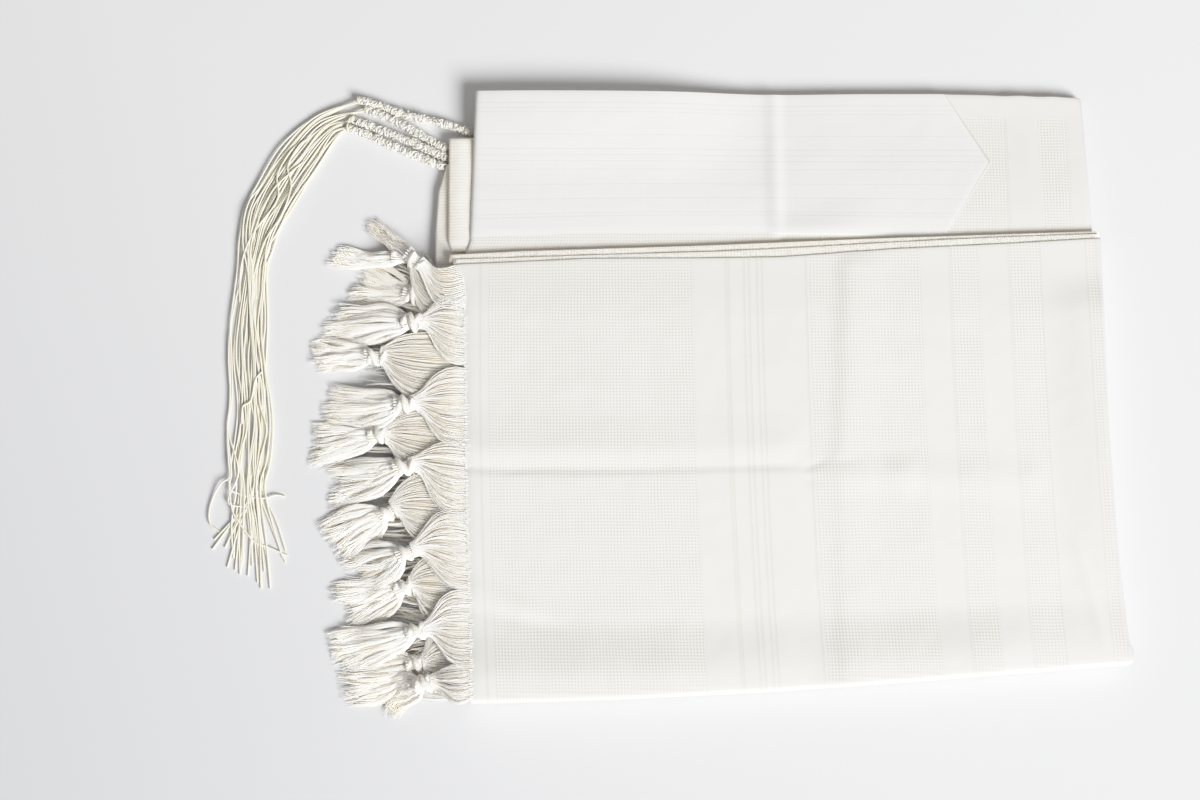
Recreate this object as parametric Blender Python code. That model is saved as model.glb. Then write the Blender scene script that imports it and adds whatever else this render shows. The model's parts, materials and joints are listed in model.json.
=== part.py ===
"""A folded wool prayer shawl, lying flat: cloth panels, neckband, knotted fringe and corner tassels.

Metres, +Z up. +X runs along the folded width, +Y from the rolled bottom fold to the neck edge.
The origin is under the middle of the folded stack, on the surface that it rests on.
Sizes and tables below are in millimetres. Where a table starts with names, they are its columns'.
"""
import math

import bmesh
import bpy
from mathutils import Vector

MM = 0.001

# Cloth
WALL = 1.5                      # wall of the two panels
FOLD_WALL = 1.2                 # wall of the neckband and of the folded edges
GAP = 0.3                       # between pieces that lie on each other

# Heights of the folded stack
STACK_BACK_TOP = 9.5            # hidden layers under the back panel
STACK_FRONT_TOP = 14.2          # hidden layers under the front flap
BACK_TOP = STACK_BACK_TOP + GAP + WALL
FLAP_FLOOR = BACK_TOP + 2.0 * GAP + FOLD_WALL
FRONT_TOP = FLAP_FLOOR + 2.0 * (FOLD_WALL + GAP) + WALL + 0.4
STEP_Y = 67.5                   # the hidden flap layers begin below this line
FLAP_LAYER_Y = 86.0             # the strips that show under the flap's edge begin here

# Layer edges round the hidden stack
LAYERS = 4
LAYER_NOTCH = 1.1               # depth of the groove between two layer edges
LAYER_REACH = 0.6               # the lowest layer shows this far inside the panel's fold
STACK_CORNER = 2.2              # its corners are cut off by this much each way

# Folds of the panels
FRONT_SIDE_FOLD = 5.0           # radius in plan of the front panel's right fold
FRONT_BOTTOM_FOLD = 7.0         # and of its rolled bottom edge
FRONT_SIDE_END = 4.3            # height at which the right fold ends
FRONT_BOTTOM_END = 0.9          # height at which the bottom roll ends
BACK_SIDE_FOLD = 4.0            # the back panel's right fold
BACK_SIDE_END = 3.6
BACK_LEFT_FOLD = 3.0            # the middle fold of the cloth, at the back panel's left
BACK_LEFT_TURN = 115.0          # degrees that it turns through
TURNS = (0.33, 0.66, 1.0)       # shares of a fold's turn where the wall has a section

# Creases
CREASE_Y = -50.0                # the sharp crease across the front panel
CREASE_DEPTH = 1.7
DENT = (15.0, -52.0)            # the pinch at its end
ROLL_VALLEY_Y = -176.0          # long hollow above the rolled bottom edge
BACK_CREASE_X = -4.0            # upright ridge across the neckband
NECK_LIFT = 4.5                 # how far the neck edge stands up at its left
NECK_DROP = 3.8                 # and how much lower it lies at its right

# Outline of the folded package in plan
FRONT_LEFT = (("y", "x"), (-210.0, -229.5), (-203.0, -226.5), (-185.0, -221.5), (-163.0, -217.8),
              (-60.0, -221.8), (30.0, -223.6), (70.0, -224.6), (88.0, -227.0), (98.0, -230.0))
FRONT_RIGHT = (("y", "x"), (-210.0, 231.5), (-184.0, 232.0), (-176.0, 233.6), (-168.0, 230.6),
               (-106.0, 226.0), (-24.0, 222.6), (53.0, 222.2), (113.0, 222.6))
FRONT_BOTTOM = (("x", "y"), (-230.0, -209.9), (-198.0, -209.5), (-118.0, -207.2), (-9.0, -201.8),
                (76.0, -195.8), (160.0, -189.4), (235.0, -183.6))
FRONT_EDGE = (("x", "y"), (-230.0, 94.2), (-187.0, 95.5), (-140.0, 98.0), (-60.0, 98.4), (-3.0, 99.2),
              (42.0, 102.5), (80.0, 105.2), (160.0, 109.0), (223.0, 112.8))
MIDDLE_EDGE = (("x", "y"), (-232.0, 97.5), (-101.0, 101.6), (-45.0, 103.2), (21.0, 106.6), (81.0, 110.0),
               (150.0, 113.4), (214.0, 115.6))
LOWER_EDGE = (("x", "y"), (-235.0, 100.9), (-184.0, 103.6), (-101.0, 106.2), (-59.0, 107.6), (-8.0, 109.7),
              (60.0, 112.6), (150.0, 115.6), (217.0, 117.8))
BACK_LEFT = (("y", "x"), (60.0, -224.2), (103.0, -224.0), (113.0, -220.8), (220.0, -217.4))
BACK_RIGHT = (("y", "x"), (60.0, 218.6), (120.0, 217.9), (195.0, 216.4), (217.0, 214.9))
NECK_EDGE = (("x", "y"), (-218.0, 220.4), (-60.0, 220.0), (-4.0, 219.4), (60.0, 220.2), (118.0, 220.2),
             (180.0, 218.4), (216.0, 216.8))
BAND_LOW_EDGE = (("x", "y"), (-222.0, 113.3), (-150.0, 115.8), (-76.0, 117.1), (-9.0, 117.1), (60.0, 116.0),
                 (118.0, 115.0))
BAND_POINT = (("y", "x"), (112.0, 112.8), (115.0, 114.7), (169.4, 148.9), (220.2, 117.8), (224.0, 115.4))

# The two folds that stand out at the left, below the neckband: left outline from the lower end up
UPPER_FOLD = (("y", "x"), (104.0, -234.0), (112.0, -236.4), (150.0, -236.6), (184.5, -236.6))
LOWER_FOLD = (("y", "x"), (91.0, -243.8), (99.0, -245.4), (120.0, -245.9), (149.0, -244.2), (167.0, -239.0))
UPPER_FOLD_HEIGHTS = (4.3, 8.1)
LOWER_FOLD_HEIGHTS = (0.0, 3.9)
SIDE_FOLD_RIGHT = -214.9        # where both end, beside the stack
STACK_LEFT = -214.5

# Sections of the back panel and the neckband: shares of the width, and heights
BAND_SHARES = (0.0, 0.1, 0.2, 0.31, 0.42, 0.475, 0.495, 0.51, 0.54, 0.6, 0.66, 0.72)
BACK_ROWS = (121.0, 142.0, 169.4, 188.0, 205.0)
BACK_SPAN = (-217.4, 215.0)     # its width at the neck edge, left and right

# Fringe: where each tassel is rooted, its knot, and the end of its tail, in plan
FRINGE = (("layer", "root_y", "root_width", "knot_x", "knot_y", "end_x", "end_y", "spread"),
          ("upper", 81.0, 22.0, -259.0, 100.0, -292.0, 127.0, 8.0),
          ("upper", 45.5, 47.0, -263.0, 50.0, -322.0, 54.0, 9.5),
          ("upper", -6.5, 53.0, -262.0, -4.0, -323.0, -7.0, 10.0),
          ("upper", -57.0, 45.0, -264.0, -48.0, -316.0, -58.0, 9.0),
          ("upper", -107.0, 52.0, -261.0, -107.0, -297.0, -122.0, 10.0),
          ("upper", -158.5, 48.0, -252.0, -160.0, -311.0, -176.0, 10.0),
          ("upper", -193.0, 19.0, -241.0, -195.5, -260.0, -206.0, 6.0),
          ("lower", 56.0, 20.0, -269.0, 101.0, -319.0, 103.0, 8.0),
          ("lower", 34.0, 20.0, -263.0, 74.0, -300.0, 80.0, 7.5),
          ("lower", 12.0, 23.0, -287.0, 30.0, -328.0, 31.0, 7.5),
          ("lower", -24.0, 44.0, -284.0, -26.0, -329.0, -31.0, 8.0),
          ("lower", -70.0, 44.0, -275.0, -79.0, -312.0, -101.0, 8.0),
          ("lower", -117.0, 44.0, -261.0, -131.0, -303.0, -147.0, 8.0),
          ("lower", -166.0, 46.0, -261.0, -190.0, -305.0, -199.0, 8.0))
LOCKS = 5                       # gathered locks between the cloth's edge and a knot
TAIL_ACROSS = 4                 # strands side by side in a tail
TAIL_DEEP = 2                   # and on top of each other
ROOT_Z = {"upper": 16.6, "lower": 7.4}
KNOT_Z = {"upper": 12.7, "lower": 4.3}
KNOT_RADIUS = 3.6
TAIL_Z = (0.95, 2.9)            # ends of its lower and upper strands

# Corner cords: their routes from the cloth to the head of the strings, in plan
CORD_Z = 3.4
CORD_RADIUS = 2.2
CORD_SWELL = 0.9                # added where it is knotted
CORD_KNOTS = 5
CORD_ROUTES = (
    ((-215.4, 190.6), (-240.0, 199.0), (-254.0, 202.6), (-270.0, 206.4), (-286.0, 212.6), (-308.0, 219.3)),
    ((-238.1, 180.0), (-250.3, 186.7), (-262.0, 194.0), (-280.0, 203.8), (-305.5, 211.5)),
    ((-237.9, 173.8), (-257.0, 182.7), (-272.0, 189.4), (-287.0, 195.8), (-305.5, 203.5)),
    ((-240.8, 167.4), (-254.0, 173.2), (-269.0, 179.6), (-284.0, 186.0), (-295.0, 191.0), (-306.0, 195.3)))
STRING_WIDE = 1.2
STRING_HIGH = 1.1
STRING_LANES = 16
STRING_LOW_Z = 1.0
STRING_LAYER = 1.4              # rise from the lower to the upper strings
# Inner and outer edge of the string bundle, from the heads to the ends
BUNDLE = (("inner_x", "inner_y", "outer_x", "outer_y"),
          (-314.5, 190.0, -336.0, 202.5),
          (-332.0, 162.0, -367.0, 173.0),
          (-350.0, 134.0, -384.0, 141.0),
          (-361.0, 101.0, -388.0, 104.0),
          (-363.0, 38.0, -390.0, 40.0),
          (-359.5, -42.0, -391.0, -40.0))
BUNDLE_SECTIONS = (1, 2, 2, 2, 2, 2, 1)     # between the heads, each row above, and the ends
STRING_ENDS = (("share", "x", "y"), (0.0, -346.0, -110.0), (0.3, -357.0, -131.0), (0.65, -377.0, -124.0),
               (1.0, -397.0, -104.0))

WOOL = (0.80, 0.79, 0.75)
BAND_WHITE = (0.83, 0.82, 0.80)
FRINGE_WHITE = (0.85, 0.83, 0.78)
STRING_CREAM = (0.76, 0.72, 0.60)


# Helpers ----------------------------------------------------------------------------------

def table_value(table, at, column=1):
    """Read a table at a value of its first column, straight between rows."""
    rows = table[1:]
    if at <= rows[0][0]:
        return rows[0][column]
    for low, high in zip(rows, rows[1:]):
        if at <= high[0]:
            share = (at - low[0]) / (high[0] - low[0])
            return low[column] + (high[column] - low[column]) * share
    return rows[-1][column]


def smooth(low, high, value):
    """0 below low, 1 above high, with soft ends."""
    share = min(1.0, max(0.0, (value - low) / (high - low)))
    return share * share * (3.0 - 2.0 * share)


def hump(distance, width):
    """1 on a soft ridge's line, 0 beyond its width."""
    share = min(1.0, abs(distance) / width)
    return (1.0 - share * share) ** 2


def mix(low, high, share):
    return low + (high - low) * share


def make_material(name, color, roughness):
    made = bpy.data.materials.new(name)
    made.use_nodes = True
    shader = made.node_tree.nodes["Principled BSDF"]
    shader.inputs["Base Color"].default_value = (*color, 1.0)
    shader.inputs["Roughness"].default_value = roughness
    shader.inputs["Metallic"].default_value = 0.0
    return made


def add_object(name, points, faces, material):
    """One named, closed object from points in millimetres, its faces pointing out."""
    shape = bmesh.new()
    corners = [shape.verts.new((x * MM, y * MM, z * MM)) for x, y, z in points]
    for face in faces:
        shape.faces.new([corners[index] for index in face])
    bmesh.ops.recalc_face_normals(shape, faces=shape.faces)
    if shape.calc_volume(signed=True) < 0.0:
        bmesh.ops.reverse_faces(shape, faces=shape.faces)
    mesh = bpy.data.meshes.new(name)
    shape.to_mesh(mesh)
    shape.free()
    mesh.materials.append(material)
    mesh.shade_smooth()
    mesh.set_sharp_from_angle(angle=math.radians(50.0))
    made = bpy.data.objects.new(name, mesh)
    bpy.context.scene.collection.objects.link(made)
    return made


def grid_normals(grid):
    """Unit normals of a grid of points: rows follow each other along +Y, points in a row along +X."""
    last_row = len(grid) - 1
    last = len(grid[0]) - 1
    normals = []
    for j in range(len(grid)):
        line = []
        for i in range(last + 1):
            across = grid[j][min(i + 1, last)] - grid[j][max(i - 1, 0)]
            along = grid[min(j + 1, last_row)][i] - grid[max(j - 1, 0)][i]
            line.append(across.cross(along).normalized())
        normals.append(line)
    return normals


def moved_out(grid, distance):
    """The same grid, each point moved along its normal."""
    normals = grid_normals(grid)
    return [[point + normals[j][i] * distance for i, point in enumerate(line)] for j, line in enumerate(grid)]


def cloth_wall(name, outer, wall, material):
    """A closed wall of cloth under a grid of points on its outer face."""
    inner = moved_out(outer, -wall)
    rows = len(outer)
    columns = len(outer[0])
    points = [tuple(point) for line in outer + inner for point in line]

    def at(j, i, side):
        return (side * rows + j) * columns + i

    faces = []
    for j in range(rows - 1):
        for i in range(columns - 1):
            faces.append((at(j, i, 0), at(j, i + 1, 0), at(j + 1, i + 1, 0), at(j + 1, i, 0)))
            faces.append((at(j, i, 1), at(j + 1, i, 1), at(j + 1, i + 1, 1), at(j, i + 1, 1)))
    for (ja, ia), (jb, ib) in rim_pairs(rows, columns):
        faces.append((at(ja, ia, 0), at(ja, ia, 1), at(jb, ib, 1), at(jb, ib, 0)))
    return add_object(name, points, faces, material)


def rim_pairs(rows, columns):
    """Neighbouring pairs of grid places, once round the rim, anticlockwise from the first."""
    rim = [(0, i) for i in range(columns)]
    rim += [(j, columns - 1) for j in range(1, rows)]
    rim += [(rows - 1, i) for i in range(columns - 2, -1, -1)]
    rim += [(j, 0) for j in range(rows - 2, 0, -1)]
    return list(zip(rim, rim[1:] + rim[:1]))


# Back part: panel and neckband ---------------------------------------------------------------

def back_lift(x, y):
    """How far the layers stand up at the neck edge's left and under the band's hem, and sink at its right."""
    lift = NECK_LIFT * hump(x + 150.0, 160.0) * smooth(150.0, 222.0, y)
    lift -= NECK_DROP * smooth(-90.0, -10.0, x) * smooth(120.0, 216.0, y)
    lift += 1.2 * hump(x - 40.0, 46.0) * hump(y - 120.0, 24.0)
    return lift


def back_relief(x, y):
    """The upright ridge across the neckband, and slow waves, none of them below the panel."""
    rise = smooth(BACK_CREASE_X - 10.0, BACK_CREASE_X, x)
    fall = smooth(BACK_CREASE_X, BACK_CREASE_X + 6.0, x)
    wave = 0.2 + 0.2 * math.sin(x / 31.0 + 0.6) * math.sin(y / 23.0)
    return (1.0 * rise * (1.0 - fall) + wave) * smooth(118.0, 140.0, y)


def back_point(share, left_turn, right_turn, y):
    """A point of the back panel's outer face: a share of its width, or part of the way round a fold."""
    left = table_value(BACK_LEFT, y) + BACK_LEFT_FOLD
    right = table_value(BACK_RIGHT, y) - BACK_SIDE_FOLD
    x = mix(left, right, share)
    z = BACK_TOP + back_lift(x, y) + back_relief(x, y)
    if left_turn:
        angle = math.radians(BACK_LEFT_TURN * left_turn)
        return Vector((left - BACK_LEFT_FOLD * math.sin(angle), y, z - 2.0 * (1.0 - math.cos(angle))))
    if right_turn:
        angle = math.radians(90.0 * right_turn)
        drop = z - BACK_SIDE_END
        return Vector((right + BACK_SIDE_FOLD * math.sin(angle), y, z - drop * (1.0 - math.cos(angle))))
    return Vector((x, y, z))


def neck_edge(share):
    """The y of the neck edge at a share of the back part's width."""
    return table_value(NECK_EDGE, mix(*BACK_SPAN, share))


def make_back_panel(material):
    stops = [(0.0, turn, 0.0) for turn in reversed(TURNS)]
    stops += [(share, 0.0, 0.0) for share in BAND_SHARES + (0.78, 0.86, 0.94, 1.0)]
    stops += [(1.0, 0.0, turn) for turn in TURNS]
    grid = []
    for y in (70.0, 98.0, 112.0) + BACK_ROWS:
        grid.append([back_point(share, left, right, y) for share, left, right in stops])
    grid.append([back_point(share, left, right, neck_edge(share)) for share, left, right in stops])
    return cloth_wall("back_panel", grid, WALL, material)


def make_neckband(material):
    """The band lies on the back panel: the panel's own points, moved out, up to the band's pointed end."""
    stops = [(0.0, turn) for turn in reversed(TURNS)] + [(share, 0.0) for share in BAND_SHARES]
    last = BAND_SHARES[-1]
    grid = []
    for y in (None,) + BACK_ROWS + (math.inf,):
        line = []
        for share, left_turn in stops + [(None, 0.5), (None, 1.0)]:
            nominal = last if share is None else share
            low = table_value(BAND_LOW_EDGE, mix(*BACK_SPAN, nominal))
            place_y = low if y is None else min(y, neck_edge(nominal))
            left = table_value(BACK_LEFT, place_y) + BACK_LEFT_FOLD
            right = table_value(BACK_RIGHT, place_y) - BACK_SIDE_FOLD
            if share is None:
                end = (table_value(BAND_POINT, place_y) - left) / (right - left)
                line.append(back_point(mix(last, end, left_turn), 0.0, 0.0, place_y))
            else:
                line.append(back_point(share, left_turn, 0.0, place_y))
        grid.append(line)
    return cloth_wall("neckband", moved_out(grid, GAP + FOLD_WALL), FOLD_WALL, material)


# Folded edges that show above the front panel's own edge ------------------------------------

def make_flap_layer(name, edge_table, floor, material):
    """A strip of folded cloth whose rounded edge shows; its left corner reaches past the fringe's roots."""
    columns = 15
    top = floor + FOLD_WALL
    left = edge_table[1][0]
    right = edge_table[-1][0]
    grid = []
    for back_from_edge, fall, reach in ((None, 0.0, 0.0), (8.0, 0.0, 0.0), (0.9, 0.1, 1.0), (0.2, 0.45, 1.0)):
        line = []
        for i in range(columns):
            x = mix(left, right, i / (columns - 1))
            edge = table_value(edge_table, x)
            y = FLAP_LAYER_Y if back_from_edge is None else edge - back_from_edge
            if i == 0:
                x = mix(STACK_LEFT - 8.0, left, reach)
            line.append(Vector((x, y, top - fall)))
        grid.append(line)
    return cloth_wall(name, grid, FOLD_WALL, material)


# Front panel ----------------------------------------------------------------------------------

def front_relief(x, y):
    """Creases and soft waves of the front panel, above or below its even height."""
    # The sharp crease across, deepest in its middle, which ends at the dent
    before_dent = 1.0 - smooth(4.0, 26.0, x)
    width = 8.0 if y > CREASE_Y else 12.0
    slope = max(0.0, 1.0 - abs(y - CREASE_Y) / width)
    height = -CREASE_DEPTH * slope ** 1.4 * before_dent * (0.75 + 0.25 * hump(x + 20.0, 120.0))
    # The dent, and the soft hollow that goes on from it towards the right
    height -= 1.5 * hump(math.hypot(x - DENT[0], (y - DENT[1]) * 1.3), 12.0) * (1.0 - 0.6 * before_dent)
    arc_y = table_value((("x", "y"), (15.0, -54.0), (60.0, -46.0), (100.0, -36.0), (150.0, -27.0)), x)
    height -= 1.0 * hump(y - arc_y, 22.0) * smooth(10.0, 32.0, x) * (1.0 - smooth(120.0, 175.0, x))
    # The upright crease of an earlier fold
    upright_x = mix(30.0, 46.0, (y + 200.0) / 300.0)
    height -= 0.8 * hump(x - upright_x, 13.0) * smooth(-60.0, -10.0, y)
    height -= 0.5 * hump(x - upright_x, 10.0) * smooth(40.0, 90.0, -y)
    # The long hollow above the rolled bottom edge
    valley_y = ROLL_VALLEY_Y + 0.05 * (x + 100.0)
    height -= 1.4 * hump(y - valley_y, 22.0) * (1.0 - smooth(90.0, 190.0, x))
    # Slow waves
    height += 0.9 * hump(x + 120.0, 90.0) * hump(y - 25.0, 60.0)
    height += 0.9 * hump(x + 90.0, 110.0) * hump(y + 115.0, 55.0)
    height += 1.0 * hump(x - 120.0, 80.0) * hump(y + 110.0, 70.0)
    height += 0.7 * hump(x - 130.0, 70.0) * hump(y - 30.0, 50.0)
    return height * smooth(FLAP_LAYER_Y, FLAP_LAYER_Y - 14.0, y)


def front_flat(share_x, share_y):
    """A point on the even part of the front panel, between its outline's four edges."""
    x = mix(-226.0, 224.0, share_x)
    for _ in range(3):
        low = table_value(FRONT_BOTTOM, x) + FRONT_BOTTOM_FOLD
        y = mix(low, table_value(FRONT_EDGE, x) - 1.0, share_y)
        x = mix(table_value(FRONT_LEFT, y), table_value(FRONT_RIGHT, y) - FRONT_SIDE_FOLD, share_x)
    droop = 0.8 * hump(share_x, 0.02) * smooth(FLAP_LAYER_Y, FLAP_LAYER_Y - 8.0, y)
    return Vector((x, y, FRONT_TOP + front_relief(x, y) - droop))


def front_fold(base, side_turn, bottom_turn):
    """Bend a point at the panel's edge down round its right fold, its bottom roll, or their corner."""
    turn = max(side_turn, bottom_turn)
    if side_turn >= bottom_turn:
        heading = math.radians(45.0) * bottom_turn / side_turn
    else:
        heading = math.radians(90.0) - math.radians(45.0) * side_turn / bottom_turn
    toward_bottom = math.sin(heading) ** 2
    angle = math.radians(90.0 * turn)
    radius = mix(FRONT_SIDE_FOLD, FRONT_BOTTOM_FOLD, toward_bottom)
    drop = base.z - mix(FRONT_SIDE_END, FRONT_BOTTOM_END, toward_bottom)
    out = radius * math.sin(angle)
    return base + Vector((out * math.cos(heading), -out * math.sin(heading), -drop * (1.0 - math.cos(angle))))


def front_stops():
    """Where the front panel has sections: shares of its flat size, and turns round its folds."""
    columns = (-227.0, -219.0, -200.0, -165.0, -130.0, -95.0, -60.0, -30.0, -8.0, 6.0, 15.0, 25.0, 36.0, 48.0,
               64.0, 90.0, 120.0, 150.0, 180.0, 205.0, 219.0)
    rows = (-199.0, -190.0, -178.0, -166.0, -152.0, -130.0, -105.0, -82.0, -66.0, -58.0, -53.5, -50.0, -47.0,
            -42.0, -34.0, -20.0, 0.0, 22.0, 45.0, 68.0, 86.0, 98.0)
    stops_x = [((x - columns[0]) / (columns[-1] - columns[0]), 0.0) for x in columns]
    stops_x += [(1.0, turn) for turn in TURNS]
    stops_y = [(0.0, turn) for turn in reversed(TURNS)]
    stops_y += [((y - rows[0]) / (rows[-1] - rows[0]), 0.0) for y in rows]
    return stops_x, stops_y


def front_edge_line():
    """The fringe edge of the front panel, as it is built: a table of y and x."""
    points = [front_flat(0.0, share) for share, turn in front_stops()[1] if not turn]
    return (("y", "x"),) + tuple((point.y, point.x) for point in points)


def make_front_panel(material):
    stops_x, stops_y = front_stops()
    grid = []
    for share_y, bottom_turn in stops_y:
        line = []
        for share_x, side_turn in stops_x:
            point = front_flat(share_x, share_y)
            if side_turn or bottom_turn:
                point = front_fold(point, side_turn, bottom_turn)
            line.append(point)
        grid.append(line)
    lip = [point + Vector((0.0, 0.8, -0.45)) for point in grid[-1]]
    return cloth_wall("front_panel", grid + [lip], WALL, material)


# Hidden layers --------------------------------------------------------------------------------

def stack_top(x, y):
    if y < STEP_Y:
        return STACK_FRONT_TOP
    lift = back_lift(x, y)
    return STACK_BACK_TOP - 0.2 + min(0.75 * lift, lift)


def make_folded_stack(material):
    """All hidden layers: one solid, flat below, with the layers' edges round its sides."""
    columns = (-222.0, -210.0, -160.0, -120.0, -85.0, -55.0, -25.0, 0.0, 75.0, 150.0, 205.0, 219.0)
    front_rows = (0.0, 0.035, 0.14, 0.31, 0.5, 0.75, 1.0)
    back_rows = (0.0, 0.15, 0.33, 0.55, 0.75, 0.92, 1.0)
    last_row = len(front_rows) + len(back_rows) - 1
    last = len(columns) - 1

    def place(j, i, inset, reach):
        """A point of the stack's outline or inside it, in plan; reach moves the right side out."""
        share = (columns[i] - columns[0]) / (columns[last] - columns[0])
        x = columns[i]
        for _ in range(2):
            if j < len(front_rows):
                low = table_value(FRONT_BOTTOM, x) + FRONT_BOTTOM_FOLD - 1.5
                y = mix(low, STEP_Y - 0.5, front_rows[j])
                left = table_value(FRONT_LEFT, y) + 1.0
                right = table_value(FRONT_RIGHT, y) - FRONT_SIDE_FOLD
            else:
                y = mix(STEP_Y + 1.0, table_value(NECK_EDGE, x) - 1.2, back_rows[j - len(front_rows)])
                left = STACK_LEFT
                right = table_value(BACK_RIGHT, y) - BACK_SIDE_FOLD - 0.8
            left += inset
            right += reach * (FRONT_SIDE_FOLD - LAYER_REACH) - inset
            x = mix(left, right, share)
        if j == 0:
            y += inset
        if j == last_row:
            y -= inset
        if j in (0, last_row) and i in (0, last):
            x += STACK_CORNER if i == 0 else -STACK_CORNER
            y += STACK_CORNER if j == 0 else -STACK_CORNER
        return x, y

    rim = [pair[0] for pair in rim_pairs(last_row + 1, last + 1)]
    # Share of the height, how far inside the outline, and how far the right side reaches out
    rings = [(0.0, 0.8, 0.9), (0.05, 0.2, 1.0), (0.19, 0.2, 1.0)]
    for layer in range(1, LAYERS):
        level = layer / LAYERS
        rings += [(level, LAYER_NOTCH, 0.0), (level + 0.05, 0.0, 0.0), (level + 0.2, 0.0, 0.0)]
    rings.append((1.0, LAYER_NOTCH, 0.0))
    points = []
    for level, inset, reach in rings:
        for j, i in rim:
            x, y = place(j, i, inset, reach)
            points.append((x, y, stack_top(x, y) * level))
    size = len(rim)
    faces = []
    for ring in range(len(rings) - 1):
        low = ring * size
        for k in range(size):
            after = (k + 1) % size
            faces.append((low + k, low + after, low + size + after, low + size + k))
    faces.append(tuple(reversed(range(size))))
    # The top follows the heights of both parts
    index = {place_key: (len(rings) - 1) * size + k for k, place_key in enumerate(rim)}
    for j in range(1, last_row):
        for i in range(1, last):
            x, y = place(j, i, LAYER_NOTCH, 0.0)
            index[(j, i)] = len(points)
            points.append((x, y, stack_top(x, y)))
    for j in range(last_row):
        for i in range(last):
            faces.append((index[(j, i)], index[(j, i + 1)], index[(j + 1, i + 1)], index[(j + 1, i)]))
    return add_object("folded_stack", points, faces, material)


def make_side_fold(name, outline, heights, material):
    """A fold of cloth open to the right: under, round its left edge, and back over."""
    low, high = heights
    radius = (high - low) / 2.0
    middle = (high + low) / 2.0
    grid = []
    for y, left in outline[1:]:
        line = [Vector((SIDE_FOLD_RIGHT, y, low))]
        for step in range(7):
            angle = math.radians(-90.0 + 30.0 * step)
            x = left + radius * (1.0 - math.cos(angle))
            line.append(Vector((x, y, middle + radius * math.sin(angle))))
        line.append(Vector((SIDE_FOLD_RIGHT, y, high)))
        grid.append(line)
    return cloth_wall(name, grid, FOLD_WALL, material)


# Fringe and corner tassels ----------------------------------------------------------------------

def box_ring(across, deep):
    """Places round the rim of a grid of cells, from -1 to 1 each way, anticlockwise from its low corner."""
    spots = [(2.0 * i / across - 1.0, -1.0) for i in range(across + 1)]
    spots += [(1.0, 2.0 * j / deep - 1.0) for j in range(1, deep)]
    spots += [(2.0 * i / across - 1.0, 1.0) for i in range(across, -1, -1)]
    spots += [(-1.0, 2.0 * j / deep - 1.0) for j in range(deep - 1, 0, -1)]
    return spots


def round_ring(count):
    """Places round a circle, in step with those of a box ring."""
    angles = [math.radians(202.0) + math.tau * k / count for k in range(count)]
    return [(math.cos(angle), math.sin(angle)) for angle in angles]


class Tassel:
    """A knot or head lofted through rings of points, with strands drawn out of its end cells."""

    def __init__(self):
        self.points = []
        self.faces = []
        self.ring = None

    def add_ring(self, centre, along, half_wide, half_high, spots):
        """A ring square to the way that the thread runs, joined to the ring before it."""
        side = along.cross(Vector((0.0, 0.0, 1.0))).normalized()
        up = side.cross(along).normalized()
        ring = []
        for s, t in spots:
            ring.append(len(self.points))
            self.points.append(centre + side * (half_wide * s) + up * (half_high * t))
        if self.ring:
            for k in range(len(ring)):
                after = (k + 1) % len(ring)
                self.faces.append((self.ring[k], self.ring[after], ring[after], ring[k]))
        self.ring = ring
        return ring

    def end_cells(self, ring, across, deep):
        """The cells that close a ring, each as its four corners, by column and then by row."""
        spots = box_ring(across, deep)
        index = {(round((s + 1.0) * across / 2.0), round((t + 1.0) * deep / 2.0)): ring[k]
                 for k, (s, t) in enumerate(spots)}
        for i in range(1, across):
            for j in range(1, deep):
                low = self.points[index[(i, 0)]]
                high = self.points[index[(i, deep)]]
                index[(i, j)] = len(self.points)
                self.points.append(low.lerp(high, j / deep))
        return {(i, j): (index[(i, j)], index[(i + 1, j)], index[(i + 1, j + 1)], index[(i, j + 1)])
                for i in range(across) for j in range(deep)}

    def draw_strand(self, cell, sections):
        """Draw a cell out along sections of (centre, side direction, half width, half height)."""
        corners = cell
        for centre, side, half_wide, half_high in sections:
            made = []
            for s, t in ((-1, -1), (1, -1), (1, 1), (-1, 1)):
                made.append(len(self.points))
                self.points.append(centre + side * (half_wide * s) + Vector((0.0, 0.0, half_high * t)))
            for k in range(4):
                after = (k + 1) % 4
                self.faces.append((corners[k], corners[after], made[after], made[k]))
            corners = made
        self.faces.append(tuple(corners))

    def cell_centre(self, cell):
        return sum((self.points[k] for k in cell), Vector()) / 4.0

    def make(self, name, material):
        return add_object(name, [tuple(point) for point in self.points], self.faces, material)


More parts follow.
